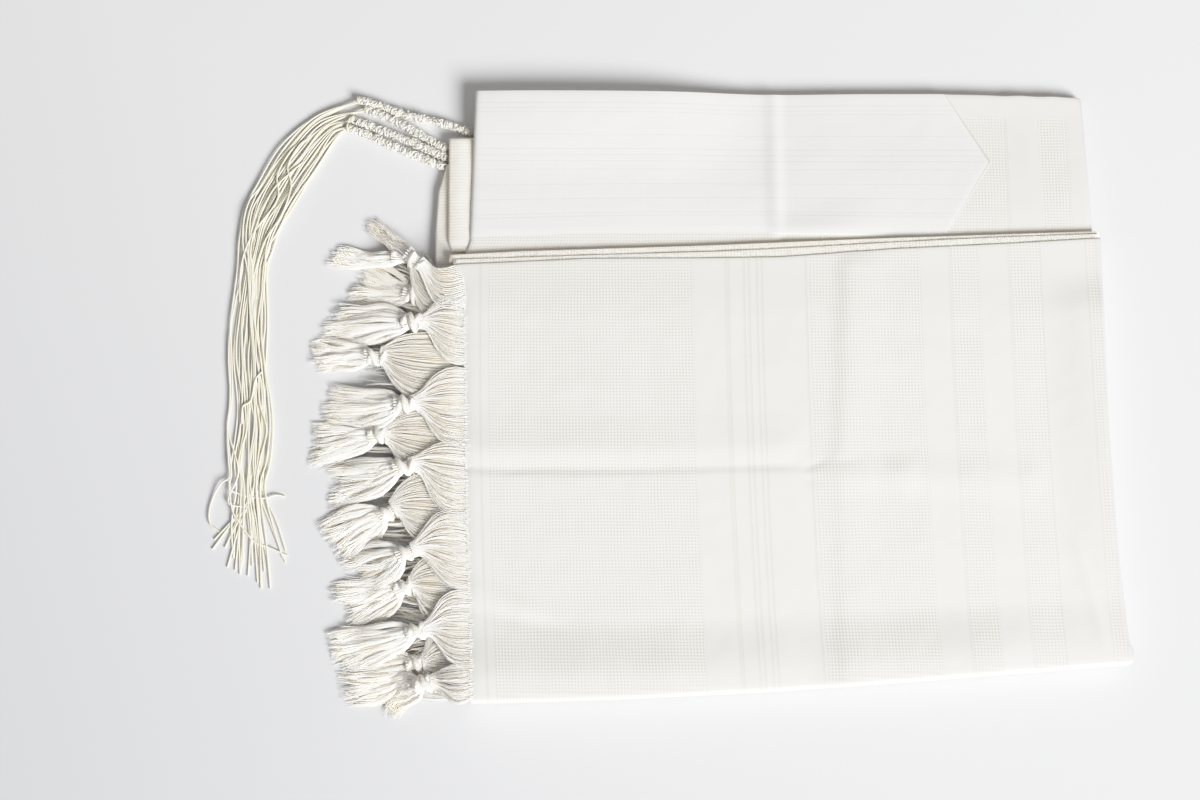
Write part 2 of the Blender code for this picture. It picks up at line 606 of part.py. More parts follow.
def make_fringe_tassel(name, row, edge_line, material):
    """Locks gathered from the cloth's edge into a knot, and the tail beyond it."""
    layer, root_y, root_width, knot_x, knot_y, end_x, end_y, spread = row
    knot = Vector((knot_x, knot_y, KNOT_Z[layer]))
    end = Vector((end_x, end_y, 0.0))
    along = Vector((end_x - knot_x, end_y - knot_y, 0.0)).normalized()
    side = along.cross(Vector((0.0, 0.0, 1.0)))
    tassel = Tassel()
    gather = tassel.add_ring(knot - along * 4.6, along, 3.6, 1.3, box_ring(LOCKS, 1))
    knob = round_ring(len(gather))
    for back, wide, high in ((-2.6, 0.95, 0.9), (0.6, 1.15, 1.0), (2.8, 0.9, 0.75)):
        tassel.add_ring(knot + along * back, along, KNOT_RADIUS * wide, KNOT_RADIUS * high, knob)
    neck = knot + along * 4.8 - Vector((0.0, 0.0, 0.9 if layer == "lower" else 0.3))
    mouth = tassel.add_ring(neck, along, 3.4, 1.9, box_ring(TAIL_ACROSS, TAIL_DEEP))

    locks = tassel.end_cells(gather, LOCKS, 1)
    pitch = root_width / LOCKS
    for i in range(LOCKS):
        cell = locks[(i, 0)]
        start = tassel.cell_centre(cell)
        y = root_y + pitch * (i + 0.5 - LOCKS / 2.0)
        outline = edge_line if layer == "upper" else FRONT_LEFT
        edge = min(table_value(outline, y + reach) for reach in (-pitch / 2.0, 0.0, pitch / 2.0))
        root = Vector((edge - GAP + (0.7 if layer == "lower" else 0.0), y, ROOT_Z[layer]))
        sections = []
        for share in (0.3, 0.65, 1.0):
            centre = start.lerp(root, share)
            centre.z += 0.7 * math.sin(math.pi * share)
            sections.append((centre, side.lerp(Vector((0.0, 1.0, 0.0)), share).normalized(),
                             mix(0.5, pitch / 2.0 - 0.4, share ** 1.3), mix(1.0, 0.6, share)))
        tassel.draw_strand(cell, sections)

    strands = tassel.end_cells(mouth, TAIL_ACROSS, TAIL_DEEP)
    for (i, j), cell in strands.items():
        start = tassel.cell_centre(cell)
        lean = 2.0 * i / (TAIL_ACROSS - 1) - 1.0
        short = 2.5 * ((i * 2 + round(abs(knot_y))) % 4) + 3.0 * lean * lean - 1.5 * j
        tip = end + side * (spread * lean * (1.0 if j == 0 else 0.85)) - along * short
        tip.z = TAIL_Z[j]
        sections = []
        for share, wide, high in ((0.3, 0.95, 0.7), (0.65, 1.2, 0.65), (1.0, 0.9, 0.5)):
            centre = start.lerp(tip, share)
            centre.z = mix(start.z, tip.z, share ** 1.8)
            sections.append((centre, side, wide, high))
        tassel.draw_strand(cell, sections)
    return tassel.make(name, material)


def smooth_route(stops, sections):
    """Points on a smooth curve through the stops, with a number of sections for each two."""
    route = []
    for k in range(len(stops) - 1):
        before = stops[max(k - 1, 0)]
        start = stops[k]
        end = stops[k + 1]
        after = stops[min(k + 2, len(stops) - 1)]
        for step in range(sections[k]):
            t = step / sections[k]
            route.append(0.5 * (2.0 * start + (end - before) * t
                                + (2.0 * before - 5.0 * start + 4.0 * end - after) * t * t
                                + (3.0 * start - before - 3.0 * end + after) * t * t * t))
    route.append(stops[-1])
    return route


def make_corner_cord(name, stops, material):
    """The wound cord of a corner tassel, thicker at its knots."""
    route = smooth_route([Vector((x, y, CORD_Z)) for x, y in stops], [4] * (len(stops) - 1))
    cord = Tassel()
    spots = round_ring(8)
    last = len(route) - 1
    first_ring = None
    for k, centre in enumerate(route):
        along = (route[min(k + 1, last)] - route[max(k - 1, 0)]).normalized()
        swell = 0.5 - 0.5 * math.cos(math.tau * CORD_KNOTS * k / last)
        radius = CORD_RADIUS + CORD_SWELL * swell
        ring = cord.add_ring(centre, along, radius, radius, spots)
        first_ring = first_ring or ring
    cord.faces.append(tuple(first_ring))
    cord.faces.append(tuple(cord.ring))
    return cord.make(name, material)


def make_corner_strings(name, number, stops, material):
    """The head knot at a cord's end, and the eight string ends that come out of it."""
    cord_end = Vector((*stops[-1], CORD_Z))
    along = (cord_end - Vector((*stops[-2], CORD_Z))).normalized()
    strings = Tassel()
    knob = round_ring(12)
    first = strings.add_ring(cord_end + along * GAP, along, 1.6, 1.6, knob)
    strings.faces.append(tuple(first))
    strings.add_ring(cord_end + along * 1.6, along, 2.7, 2.5, knob)
    inner_x, inner_y, outer_x, outer_y = BUNDLE[1]
    heading = Vector((inner_x + outer_x, inner_y + outer_y, 0.0)) / 2.0 - cord_end
    heading.z = 0.0
    heading = (heading.normalized() + along).normalized()
    strings.add_ring(cord_end + along * 3.4, heading, 2.9, 2.3, knob)
    mouth_centre = cord_end + along * 3.4 + heading * 2.2 - Vector((0.0, 0.0, 1.2))
    mouth = strings.add_ring(mouth_centre, heading, 3.0, 1.5, box_ring(TAIL_ACROSS, TAIL_DEEP))
    cells = strings.end_cells(mouth, TAIL_ACROSS, TAIL_DEEP)
    for (i, j), cell in cells.items():
        lane = (len(CORD_ROUTES) - 1 - number) * TAIL_ACROSS + i
        share = (lane + 0.3 + 0.4 * j) / STRING_LANES
        stops_here = [strings.cell_centre(cell)]
        for inner_x, inner_y, outer_x, outer_y in BUNDLE[1:]:
            stops_here.append(Vector((mix(inner_x, outer_x, share), mix(inner_y, outer_y, share), 0.0)))
        stops_here.append(Vector((table_value(STRING_ENDS, share, 1), table_value(STRING_ENDS, share, 2)
                                  + 6.0 * ((lane * 5 + j * 3) % 4) - 6.0, 0.0)))
        route = smooth_route(stops_here, BUNDLE_SECTIONS)
        last = len(route) - 1
        sections = []
        for k in range(1, last + 1):
            centre = route[k].copy()
            centre.z = STRING_LOW_Z + STRING_LAYER * j
            ahead = route[min(k + 1, last)] - route[k - 1]
            side = Vector((ahead.y, -ahead.x, 0.0)).normalized()
            sections.append((centre, side, STRING_WIDE / 2.0, STRING_HIGH / 2.0))
        strings.draw_strand(cell, sections)
    return strings.make(name, material)


def main():
    for old in list(bpy.data.objects):
        bpy.data.objects.remove(old, do_unlink=True)
    wool = make_material("wool_cloth", WOOL, 0.9)
    band = make_material("band_cloth", BAND_WHITE, 0.75)
    make_folded_stack(make_material("hidden_wool", WOOL, 0.92))
    make_back_panel(wool)
    make_neckband(band)
    make_side_fold("side_fold_upper", UPPER_FOLD, UPPER_FOLD_HEIGHTS,
                   make_material("side_fold_wool", WOOL, 0.9))
    make_side_fold("side_fold_lower", LOWER_FOLD, LOWER_FOLD_HEIGHTS,
                   make_material("side_fold_low_wool", WOOL, 0.9))
    make_flap_layer("flap_layer_lower", LOWER_EDGE, FLAP_FLOOR, make_material("flap_wool", WOOL, 0.9))
    make_flap_layer("flap_layer_middle", MIDDLE_EDGE, FLAP_FLOOR + FOLD_WALL + GAP,
                    make_material("flap_inner_wool", WOOL, 0.9))
    make_front_panel(make_material("front_wool", WOOL, 0.9))
    fringe = make_material("fringe_wool", FRINGE_WHITE, 0.95)
    numbers = {"upper": 0, "lower": 0}
    edge_line = front_edge_line()
    for row in FRINGE[1:]:
        numbers[row[0]] += 1
        make_fringe_tassel(f"fringe_{row[0]}_{numbers[row[0]]}", row, edge_line, fringe)
    cream = make_material("string_wool", STRING_CREAM, 0.85)
    for number, stops in enumerate(CORD_ROUTES):
        make_corner_cord(f"corner_cord_{number + 1}", stops, cream)
        make_corner_strings(f"corner_strings_{number + 1}", number, stops, cream)


main()
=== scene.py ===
# %% [markdown]
# # Dressing a folded prayer shawl
# The real thing is one long rectangle of thin white wool, folded in thirds one way and in quarters the
# other, with a smooth band along the neck edge, a knotted warp fringe, and a cord with eight long
# strings at each corner. Its solids come packed, at their real size, and they stay where they are.
# Each step below makes one visible piece over its solid: cloth, threads or strings.

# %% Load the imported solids
import json
import math
import random

import bpy
import numpy as np
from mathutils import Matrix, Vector, noise

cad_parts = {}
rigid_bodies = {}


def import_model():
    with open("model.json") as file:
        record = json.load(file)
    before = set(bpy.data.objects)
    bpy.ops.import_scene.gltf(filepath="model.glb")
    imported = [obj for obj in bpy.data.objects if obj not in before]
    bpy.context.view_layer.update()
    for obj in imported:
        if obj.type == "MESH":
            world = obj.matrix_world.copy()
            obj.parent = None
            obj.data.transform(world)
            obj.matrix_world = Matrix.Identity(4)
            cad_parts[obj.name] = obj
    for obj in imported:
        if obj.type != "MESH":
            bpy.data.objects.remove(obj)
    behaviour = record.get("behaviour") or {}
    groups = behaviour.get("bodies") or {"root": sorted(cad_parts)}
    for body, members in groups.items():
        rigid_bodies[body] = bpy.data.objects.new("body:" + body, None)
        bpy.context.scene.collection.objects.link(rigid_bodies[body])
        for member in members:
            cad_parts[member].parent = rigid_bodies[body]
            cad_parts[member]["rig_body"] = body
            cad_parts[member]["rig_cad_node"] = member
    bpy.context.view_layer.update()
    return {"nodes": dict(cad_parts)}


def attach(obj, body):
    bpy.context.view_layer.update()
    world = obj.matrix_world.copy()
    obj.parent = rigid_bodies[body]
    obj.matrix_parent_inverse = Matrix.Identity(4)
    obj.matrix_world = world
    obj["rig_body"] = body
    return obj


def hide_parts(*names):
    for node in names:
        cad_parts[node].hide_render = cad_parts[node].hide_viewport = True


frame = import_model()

MM = 0.001
chance = random.Random(18)

# %% [markdown]
# ## Camera
# The shawl lies flat, so the camera looks down on it, leaning back a few degrees. It comes before the
# cloth, because what can be seen decides where the detail goes.

# %% Set up the camera
CAMERA_PLACE = Vector((-0.129, -0.1628, 1.1586))
CAMERA_TARGET = Vector((-0.129, 0.0, 0.0))

bpy.ops.object.camera_add(location=CAMERA_PLACE)
camera = bpy.context.object
camera.rotation_euler = (CAMERA_TARGET - CAMERA_PLACE).to_track_quat("-Z", "Y").to_euler()
camera.data.lens = 50.0
camera.data.sensor_width = 36.0
camera.data.clip_start = 0.01
bpy.context.scene.camera = camera
print("camera", round((CAMERA_TARGET - CAMERA_PLACE).length, 3), "m away")

# %% [markdown]
# ## Light and floor
# One broad lamp low at the right gives the soft shadows at the upper left of every fold, and a bright
# sky fills them. The plain colour transform keeps white wool white, and a curve with a soft shoulder
# keeps the folds that face the lamp from burning out.

# %% Set up the light and the floor
LAMP_PLACE = Vector((3.90, -3.90, 3.75))
LAMP_SIZE = 3.3
LAMP_WATTS = 618.0
SKY = (1.0, 0.978, 0.950)
SKY_STRENGTH = 0.31
SHOULDER = ((0.72, 0.72), (0.82, 0.81), (0.90, 0.867), (1.0, 0.915))

bpy.ops.object.light_add(type="AREA", location=LAMP_PLACE)
lamp = bpy.context.object
lamp.rotation_euler = (CAMERA_TARGET - LAMP_PLACE).to_track_quat("-Z", "Y").to_euler()
lamp.data.shape = "DISK"
lamp.data.size = LAMP_SIZE
lamp.data.energy = LAMP_WATTS
lamp.visible_camera = False
world = bpy.data.worlds.new("soft sky")
world.use_nodes = True
world.node_tree.nodes["Background"].inputs["Color"].default_value = (*SKY, 1.0)
world.node_tree.nodes["Background"].inputs["Strength"].default_value = SKY_STRENGTH
bpy.context.scene.world = world
toning = bpy.context.scene.view_settings
toning.view_transform = "Standard"
toning.use_curve_mapping = True
tone = toning.curve_mapping.curves[3]
tone.points[-1].location = SHOULDER[-1]
for place in SHOULDER[:-1]:
    tone.points.new(*place)
toning.curve_mapping.update()
bpy.ops.mesh.primitive_plane_add(size=8.0)
floor = bpy.context.object
floor.name = "floor"
print("lamp", LAMP_WATTS, "W, sky", SKY_STRENGTH)

# %% [markdown]
# ## Shader maths in Python
# A weave is a formula: waves across and along the cloth, multiplied, mixed and cut off. Writing it as
# a Python expression is easier to read than a wall of nodes, so one small class wraps a socket, and
# each operator adds the Math node that it stands for.

# %% A socket that understands arithmetic
class Value:
    """The output of a node; arithmetic on it adds Math nodes."""

    def __init__(self, finish, socket):
        self.finish = finish
        self.socket = socket

    def __add__(self, other):
        return self.finish.maths("ADD", self, other)

    def __sub__(self, other):
        return self.finish.maths("SUBTRACT", self, other)

    def __rsub__(self, other):
        return self.finish.maths("SUBTRACT", other, self)

    def __mul__(self, other):
        return self.finish.maths("MULTIPLY", self, other)

    def __gt__(self, other):
        return self.finish.maths("GREATER_THAN", self, other)

    __radd__ = __add__
    __rmul__ = __mul__


class Finish:
    """A material in the making: nodes go in by kind, and results go to its Principled shader."""

    def __init__(self, name, **constants):
        self.material = bpy.data.materials.new(name)
        self.material.use_nodes = True
        self.tree = self.material.node_tree
        self.shader = self.tree.nodes["Principled BSDF"]
        for socket, value in constants.items():
            self.shader.inputs[socket.replace("_", " ").title()].default_value = value

    def node(self, kind, sockets, output=0, stops=(), **settings):
        """Add a node: its settings first, then the value or link of each socket."""
        made = self.tree.nodes.new("ShaderNode" + kind)
        for name, value in settings.items():
            setattr(made, name, value)
        if stops:
            ramp = made.color_ramp
            ramp.interpolation = "CONSTANT"
            while len(ramp.elements) < len(stops):
                ramp.elements.new(1.0)
            for element, (place, grey) in zip(ramp.elements, stops):
                element.position = place
                element.color = (grey, grey, grey, 1.0)
        for name, value in sockets.items():
            if isinstance(value, Value):
                self.tree.links.new(value.socket, made.inputs[name])
            else:
                made.inputs[name].default_value = value
        return Value(self, made.outputs[output])

    def maths(self, operation, *values):
        return self.node("Math", dict(enumerate(values)), operation=operation)

    def place(self):
        """The place on the piece, in metres."""
        return self.node("TexCoord", {}, output="Object")

    def parts(self, place):
        """The X, Y and Z of a place."""
        split = self.node("SeparateXYZ", {0: place})
        return [Value(self, socket) for socket in split.socket.node.outputs]

    def wave(self, value, length):
        """0 to 1 and back once in each length."""
        return 0.5 - 0.5 * self.maths("COSINE", value * (math.tau / length))

    def rise(self, value, low, high, **settings):
        """0 up to low, 1 from high on."""
        return self.node("MapRange", {0: value, 1: low, 2: high}, **settings)

    def noise(self, place, stretch, detail=2.0):
        """Even noise from 0 to 1 on a place, which is stretched first."""
        scaled = self.node("VectorMath", {0: place, 1: stretch}, operation="MULTIPLY")
        return self.node("TexNoise", {"Vector": scaled, "Scale": 1.0, "Detail": detail}, output="Fac")

    def blend(self, share, low, high):
        """A colour between two colours."""
        return self.node("Mix", {0: share, 6: low, 7: high}, output=2, data_type="RGBA")

    def painted_shade_mask(self, reach, shallow, deep):
        """Share of painted shade: 0 in the open, 1 between surfaces; shallow and deep are the shares of
        sky that count so.
        """
        sky = self.node("AmbientOcclusion", {1: reach}, output="AO", samples=6)
        return self.rise(sky, shallow, deep)

    def feed(self, socket, value):
        self.tree.links.new(value.socket, self.shader.inputs[socket])

    def bump(self, height, depth):
        """Raise the surface by a height from 0 to 1 times a depth in metres."""
        self.feed("Normal", self.node("Bump", {"Height": height, "Distance": depth}, output="Normal"))


print("shader maths ready")

# %% [markdown]
# ## The woven cloth
# Wool shawl cloth has three faces in turn: an open check, where pairs of threads leave small holes;
# a smooth satin stripe, where the threads lie close; and fine grooves between them. A ramp with hard
# steps across the cloth says which face is where. It reads the piece's own cloth map, in metres, so
# that stripes run on round the folds. The holes and grooves are painted darker as shade, the ridges of
# the side folds get painted shade, and cloth under other layers gets painted warm shade where they meet.

# %% Mix the woven cloth
MESH, SATIN = 0.0, 1.0
CHECK = 2.2 * MM
WOOL_THREAD = (0.900, 0.886, 0.848, 1.0)
# Holes and grooves are painted darker as shade; the groove colour also tints the random streaks.
WOOL_HOLE_SHADE = (0.730, 0.708, 0.652, 1.0)
WOOL_SATIN = (0.872, 0.860, 0.826, 1.0)
WOOL_GROOVE_SHADE_AND_STREAK = (0.812, 0.797, 0.752, 1.0)
WOOL_PAINTED_SHADE = (1.000, 0.920, 0.760, 1.0)    # painted warm shade, where layers meet and hide the sky
WOOL_FOLD_SHADE = (0.600, 0.608, 0.625, 1.0)  # painted shade on the ridge of a side fold


def line_stops(lines, width):
    """Ramp stops for lines, each a start and its own width in mm, across a width."""
    stops = [(0.0, 0.0)]
    for start, thick in lines:
        stops += [(start / width, 1.0), ((start + thick) / width, 0.0)]
    return stops


def woven_cloth(name, width, faces, lines, hem=1000.0, shade_under_others=False):
    """Cloth of a width in mm, smooth above its hem; faces are rows of where a face begins, and which.

    Cloth below others gets painted warm shade where they meet it.
    """
    finish = Finish(name, roughness=0.85, sheen_weight=0.25, sheen_roughness=0.5)
    flat = finish.node("UVMap", {}, uv_map="cloth")
    across, along, _ = finish.parts(flat)
    share = across * (1.0 / (width * MM))
    smooth = finish.node("ValToRGB", {0: share}, stops=[(start / width, face) for start, face in faces])
    above_hem = along > hem * MM
    satin = finish.maths("MAXIMUM", smooth, above_hem)
    groove = finish.node("ValToRGB", {0: share}, stops=line_stops(lines, width)) * (1.0 - above_hem)
    mesh = 1.0 - satin

    drift = finish.noise(flat, (45.0, 45.0, 1.0)) * (1.2 * MM)
    warp = finish.wave(across + drift, CHECK)
    weft = finish.wave(along + drift, CHECK)
    patch = finish.noise(flat, (70.0, 70.0, 1.0), detail=3.0)
    streak_up = finish.noise(flat, (900.0, 9.0, 1.0))
    streak_across = finish.noise(flat, (9.0, 900.0, 1.0))
    lean = finish.noise(flat, (110.0, 110.0, 1.0), detail=1.0)
    hole = warp * weft * (0.1 + 0.75 * patch) + (warp * lean + weft * (1.0 - lean)) * 0.26
    hole = hole * mesh
    ribs = finish.wave(across, 0.7 * MM) * satin

    # Painted shade: darker in the check's holes and along the fine grooves.
    cloth = finish.blend(hole, WOOL_THREAD, WOOL_HOLE_SHADE)
    cloth = finish.blend(satin, cloth, WOOL_SATIN)
    cloth = finish.blend(groove * 0.75, cloth, WOOL_GROOVE_SHADE_AND_STREAK)
    # Streaks of the cloth's own uneven tone.
    uneven = (streak_up + streak_across) * 0.5
    cloth = finish.blend(uneven * 0.22, cloth, WOOL_GROOVE_SHADE_AND_STREAK)
    # Painted shade on the ridge of each side fold.
    turned = finish.node("Attribute", {}, output="Fac", attribute_name="turned")
    cloth = finish.blend(turned, cloth, WOOL_FOLD_SHADE)
    # Painted warm shade where other layers cover this cloth.
    if shade_under_others:
        cloth = finish.blend(finish.painted_shade_mask(8.0 * MM, 0.95, 0.50), cloth, WOOL_PAINTED_SHADE)
    finish.feed("Base Color", cloth)
    finish.feed("Roughness", 0.9 - 0.25 * satin)
    height = 0.6 + 0.4 * satin - 0.55 * hole - 0.3 * groove + 0.12 * uneven + 0.08 * ribs
    finish.bump(height, 0.25 * MM)
    return finish.material


FRONT_WIDTH = 462.0
FRONT_FACES = ((0, SATIN), (17.6, MESH), (158.9, SATIN), (241.5, MESH), (319.2, SATIN), (340.2, MESH),
               (360, SATIN), (381.6, MESH), (403.2, SATIN), (436, MESH))
FRONT_LINES = ((7.4, 0.8), (10.8, 0.5), (162.8, 0.7), (181.9, 0.6), (183.5, 0.7), (194.8, 1),
               (198.2, 0.8), (203.7, 1.2), (206.9, 0.8), (216.9, 0.9), (237.3, 1), (240.8, 0.7),
               (338.9, 1.3), (380.4, 1.2), (434.8, 1.2))
front_cloth = woven_cloth("striped wool cloth", FRONT_WIDTH, FRONT_FACES, FRONT_LINES)
print(len(FRONT_FACES), "faces and", len(FRONT_LINES), "lines across the front panel")

# %% [markdown]
# ## The other finishes
# The neckband is a closer, whiter cloth with a few fine woven lines along it, painted darker as shade,
# and a painted dark line along its pointed end for the seam and the shade at that edge. Folded edges
# and hidden layers are plain wool, with painted shade between the ribs and painted warm shade where
# surfaces meet. Fringe threads are the cloth's own warp: light passes from one loose thread to the
# next, so the finish scatters it below the surface, and warm shade is painted on the low threads near
# the knots and deep among the threads. The corner strings are cream, and twisted, so their bump winds
# round them, and warm shade is painted where they hide each other.

# %% Mix the band cloth
BAND_HEIGHT = 106.0
BAND_LINES = ((13.2, 1), (15.6, 0.7), (26, 0.6), (36.1, 0.7), (46.8, 0.5), (53, 0.8), (57.4, 0.6),
              (61.8, 0.8), (72.7, 0.5), (89.6, 0.7), (92.5, 1), (96.3, 1.2))
BAND_WHITE = (0.885, 0.881, 0.870, 1.0)
BAND_SHADE = (0.800, 0.795, 0.775, 1.0)
BAND_SEAM_AND_SHADE = (0.715, 0.695, 0.650, 1.0)
SEAM_SHADE_FROM = 350.2               # the pointed end's seam, painted dark with the shade along that edge, from so far along the band


def band_cloth():
    finish = Finish("smooth band cloth", roughness=0.7, sheen_weight=0.2, sheen_roughness=0.4)
    flat = finish.node("UVMap", {}, uv_map="cloth")
    across, up, _ = finish.parts(flat)
    share = up * (1.0 / (BAND_HEIGHT * MM))
    line = finish.node("ValToRGB", {0: share}, stops=line_stops(BAND_LINES, BAND_HEIGHT))
    slub = finish.noise(flat, (12.0, 1400.0, 1.0))
    warp_shade = finish.noise(flat, (900.0, 14.0, 1.0))
    patch = finish.noise(flat, (40.0, 90.0, 1.0), detail=3.0)
    weave = finish.wave(across, 0.55 * MM) * finish.wave(up, 0.55 * MM)
    # Painted shade along the woven lines; slubs and warp streaks are the band's own uneven tone.
    shade = line * (0.05 + 0.35 * patch) + 0.30 * slub + 0.2 * warp_shade - 0.18
    # A painted dark line along the pointed end: its seam, and the shade at that edge.
    seam_and_shade = finish.rise(across, SEAM_SHADE_FROM * MM, (SEAM_SHADE_FROM + 0.5) * MM)
    cloth = finish.blend(shade, BAND_WHITE, BAND_SHADE)
    finish.feed("Base Color", finish.blend(seam_and_shade, cloth, BAND_SEAM_AND_SHADE))
    finish.bump(0.5 + 0.2 * slub + 0.12 * warp_shade - 0.2 * line + 0.1 * weave, 0.2 * MM)
    return finish.material


band_finish = band_cloth()
print(len(BAND_LINES), "woven lines along the band")

# %% Mix the plain wool of folded edges
WARM_THREAD = (0.940, 0.918, 0.865, 1.0)
# painted shade between the ribs
WARM_RIB_SHADE = (0.700, 0.645, 0.535, 1.0)


def plain_wool(name, rib_way):
    """Wool whose ribs cross one way: 0 for ribs that follow each other along X, 1 along Y."""
    finish = Finish(name, roughness=0.9, sheen_weight=0.2, sheen_roughness=0.5,
                    subsurface_weight=0.4, subsurface_radius=(1.0, 0.80, 0.55), subsurface_scale=2.0 * MM)
    finish.shader.subsurface_method = "BURLEY"
    place = finish.place()
    way = finish.parts(place)[rib_way]
    drift = finish.noise(place, (60.0, 60.0, 60.0)) * (1.5 * MM)
    rib = finish.wave(way + drift, CHECK)
    patch = finish.noise(place, (90.0, 90.0, 90.0), detail=3.0)
    # Painted shade between the ribs.
    cloth = finish.blend(rib * patch * 0.7, WARM_THREAD, WARM_RIB_SHADE)
    # Painted warm shade where other surfaces hide the sky.
    finish.feed("Base Color", finish.blend(finish.painted_shade_mask(5.0 * MM, 0.90, 0.45), cloth, WOOL_PAINTED_SHADE))
    finish.bump(0.5 - 0.4 * rib * patch + 0.2 * patch, 0.25 * MM)
    return finish.material


edge_wool = plain_wool("wool at a folded edge", 0)
side_wool = plain_wool("wool of the side folds", 1)
print("plain wool ready")

# %% Mix the thread and string finishes
THREAD_BRIGHT = (0.955, 0.952, 0.940, 1.0)
THREAD_WARM = (0.930, 0.915, 0.875, 1.0)
# painted warm shade, deep among threads and strings
THREAD_PAINTED_SHADE = (0.960, 0.870, 0.665, 1.0)
STRING_BRIGHT = (0.970, 0.950, 0.845, 1.0)
STRING_WARM = (0.915, 0.880, 0.722, 1.0)
CORD_BRIGHT = (1.000, 0.995, 0.965, 1.0)
CORD_WARM = (0.965, 0.945, 0.875, 1.0)
# The floor's painted light runs from the first colour to the second.
FLOOR_PAINTED_SHADE = (0.708, 0.717, 0.740, 1.0)
FLOOR_PAINTED_LIGHT = (0.850, 0.855, 0.872, 1.0)


def fringe_wool():
    """Each thread has its own tone; painted warm shade goes on low threads near the knots and on threads
    deep between the bunches and the cloth.
    """
    finish = Finish("loose warp threads", roughness=0.85, sheen_weight=0.25, sheen_roughness=0.5,
                    subsurface_weight=0.35, subsurface_radius=(1.0, 0.88, 0.7), subsurface_scale=2.0 * MM)
    finish.shader.subsurface_method = "BURLEY"
    own = finish.node("NewGeometry", {}, output="Random Per Island")
    place = finish.place()
    fuzz = finish.noise(place, (700.0, 700.0, 700.0))
    fine = finish.noise(place, (110.0, 1900.0, 1900.0))
    x, _, z = finish.parts(place)
    # Painted warm shade on low threads near the knots, and where threads hide the sky beyond the cloth.
    low = finish.rise(z, 11.0 * MM, 3.0 * MM) * finish.rise(x, -0.295, -0.268)
    painted_shade_mask = finish.painted_shade_mask(6.0 * MM, 0.28, 0.02) * finish.rise(x, -0.228, -0.242)
    deep = low * 0.3 + painted_shade_mask * 0.75
    warm = 0.35 * own + 0.2 * fuzz + 0.3 * fine
    thread = finish.blend(warm, THREAD_BRIGHT, THREAD_WARM)
    finish.feed("Base Color", finish.blend(deep, thread, THREAD_PAINTED_SHADE))
    finish.bump(0.3 * fuzz + 0.7 * fine, 0.35 * MM)
    return finish.material


def string_wool(name, bright, dull):
    """Cream string of two plies, whose twist is a spiral in the bump."""
    finish = Finish(name, roughness=0.75, sheen_weight=0.25, sheen_roughness=0.4)
    own = finish.node("NewGeometry", {}, output="Random Per Island")
    place = finish.place()
    fuzz = finish.noise(place, (500.0, 500.0, 500.0))
    x, y, _ = finish.parts(place)
    spiral = finish.wave(x * 0.8 + y, 1.6 * MM)
    warm = 0.5 * own + 0.3 * fuzz + 0.15 * spiral
    # Painted warm shade where the strings hide each other.
    painted_shade_mask = finish.painted_shade_mask(4.0 * MM, 0.5, 0.1)
    string = finish.blend(warm, bright, dull)
    finish.feed("Base Color", finish.blend(painted_shade_mask * 0.4, string, THREAD_PAINTED_SHADE))
    finish.bump(0.6 * spiral + 0.4 * fuzz, 0.2 * MM)
    return finish.material


def pale_floor():
    """Pale paper with slow clouds; painted light makes it a little darker towards its left and front."""
    finish = Finish("pale floor", roughness=0.8)
    place = finish.place()
    x, y, _ = finish.parts(place)
    haze = finish.noise(place, (2.2, 2.2, 1.0))
    # Painted light: darker towards the left and front, lighter towards the right and back.
    far = finish.rise(x + y * 0.55, -0.85, -0.15, interpolation_type="SMOOTHSTEP")
    bright = far * 0.60 + y * 0.90 + haze * 0.12 + 0.15
    finish.feed("Base Color", finish.blend(bright, FLOOR_PAINTED_SHADE, FLOOR_PAINTED_LIGHT))
    return finish.material


thread_finish = fringe_wool()
string_finish = string_wool("twisted cream string", STRING_BRIGHT, STRING_WARM)
cord_finish = string_wool("wound pale string", CORD_BRIGHT, CORD_WARM)
floor.data.materials.append(pale_floor())
print("threads, strings and floor ready")

# %% [markdown]
# ## Ways to make a piece
# A sheet of cloth starts as Blender's grid, with a column or row at every place where it bends. Each
# point of the grid is moved from the uncut cloth to where it lies, and Solidify gives it its wall.
# Threads are poly curves with a round bevel, many splines in one object, turned into a mesh.

# %% Helpers for picking and dressing
def pick(*made):
    """Select these and nothing else, because an operator acts on all that is selected."""
    bpy.ops.object.select_all(action="DESELECT")
    for one in made:
        one.select_set(True)
    bpy.context.view_layer.objects.active = made[0]


def dress(made, finish, slot, *nodes):
    """Give a piece its finish; it rides on the one body and stands for its solids."""
    made.data.materials.clear()
    made.data.materials.append(finish)
    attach(made, "root")
    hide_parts(*nodes)
    print(made.name, len(made.data.polygons), "faces")
    return made


def even(low, high, count):
    """Stops from low to high, both included."""
    return [low + (high - low) * k / count for k in range(count + 1)]


def stepped(first, *rest):
    """Stops that pass through places in turn, with a number of steps named before each next place."""
    stops = [first]
    for count, place in zip(rest[::2], rest[1::2]):
        stops += even(stops[-1], place, count)[1:]
        stops[-1] = place
    return stops


def mix(low, high, share):
    return low + (high - low) * share


def soft(low, high, value):
    """0 up to low, 1 from high on, with soft ends; high may be the smaller of the two."""
    share = min(1.0, max(0.0, (value - low) / (high - low)))
    return share * share * (3.0 - 2.0 * share)


def hump(distance, width):
    """1 on a line, 0 beyond its width."""
    share = min(1.0, abs(distance) / width)
    return (1.0 - share * share) ** 2


def outline(*pairs):
    """A line through pairs of (place along, place across), as a function of the place along."""
    along, across = zip(*pairs)
    return lambda at: float(np.interp(at, along, across))


print("helpers ready")

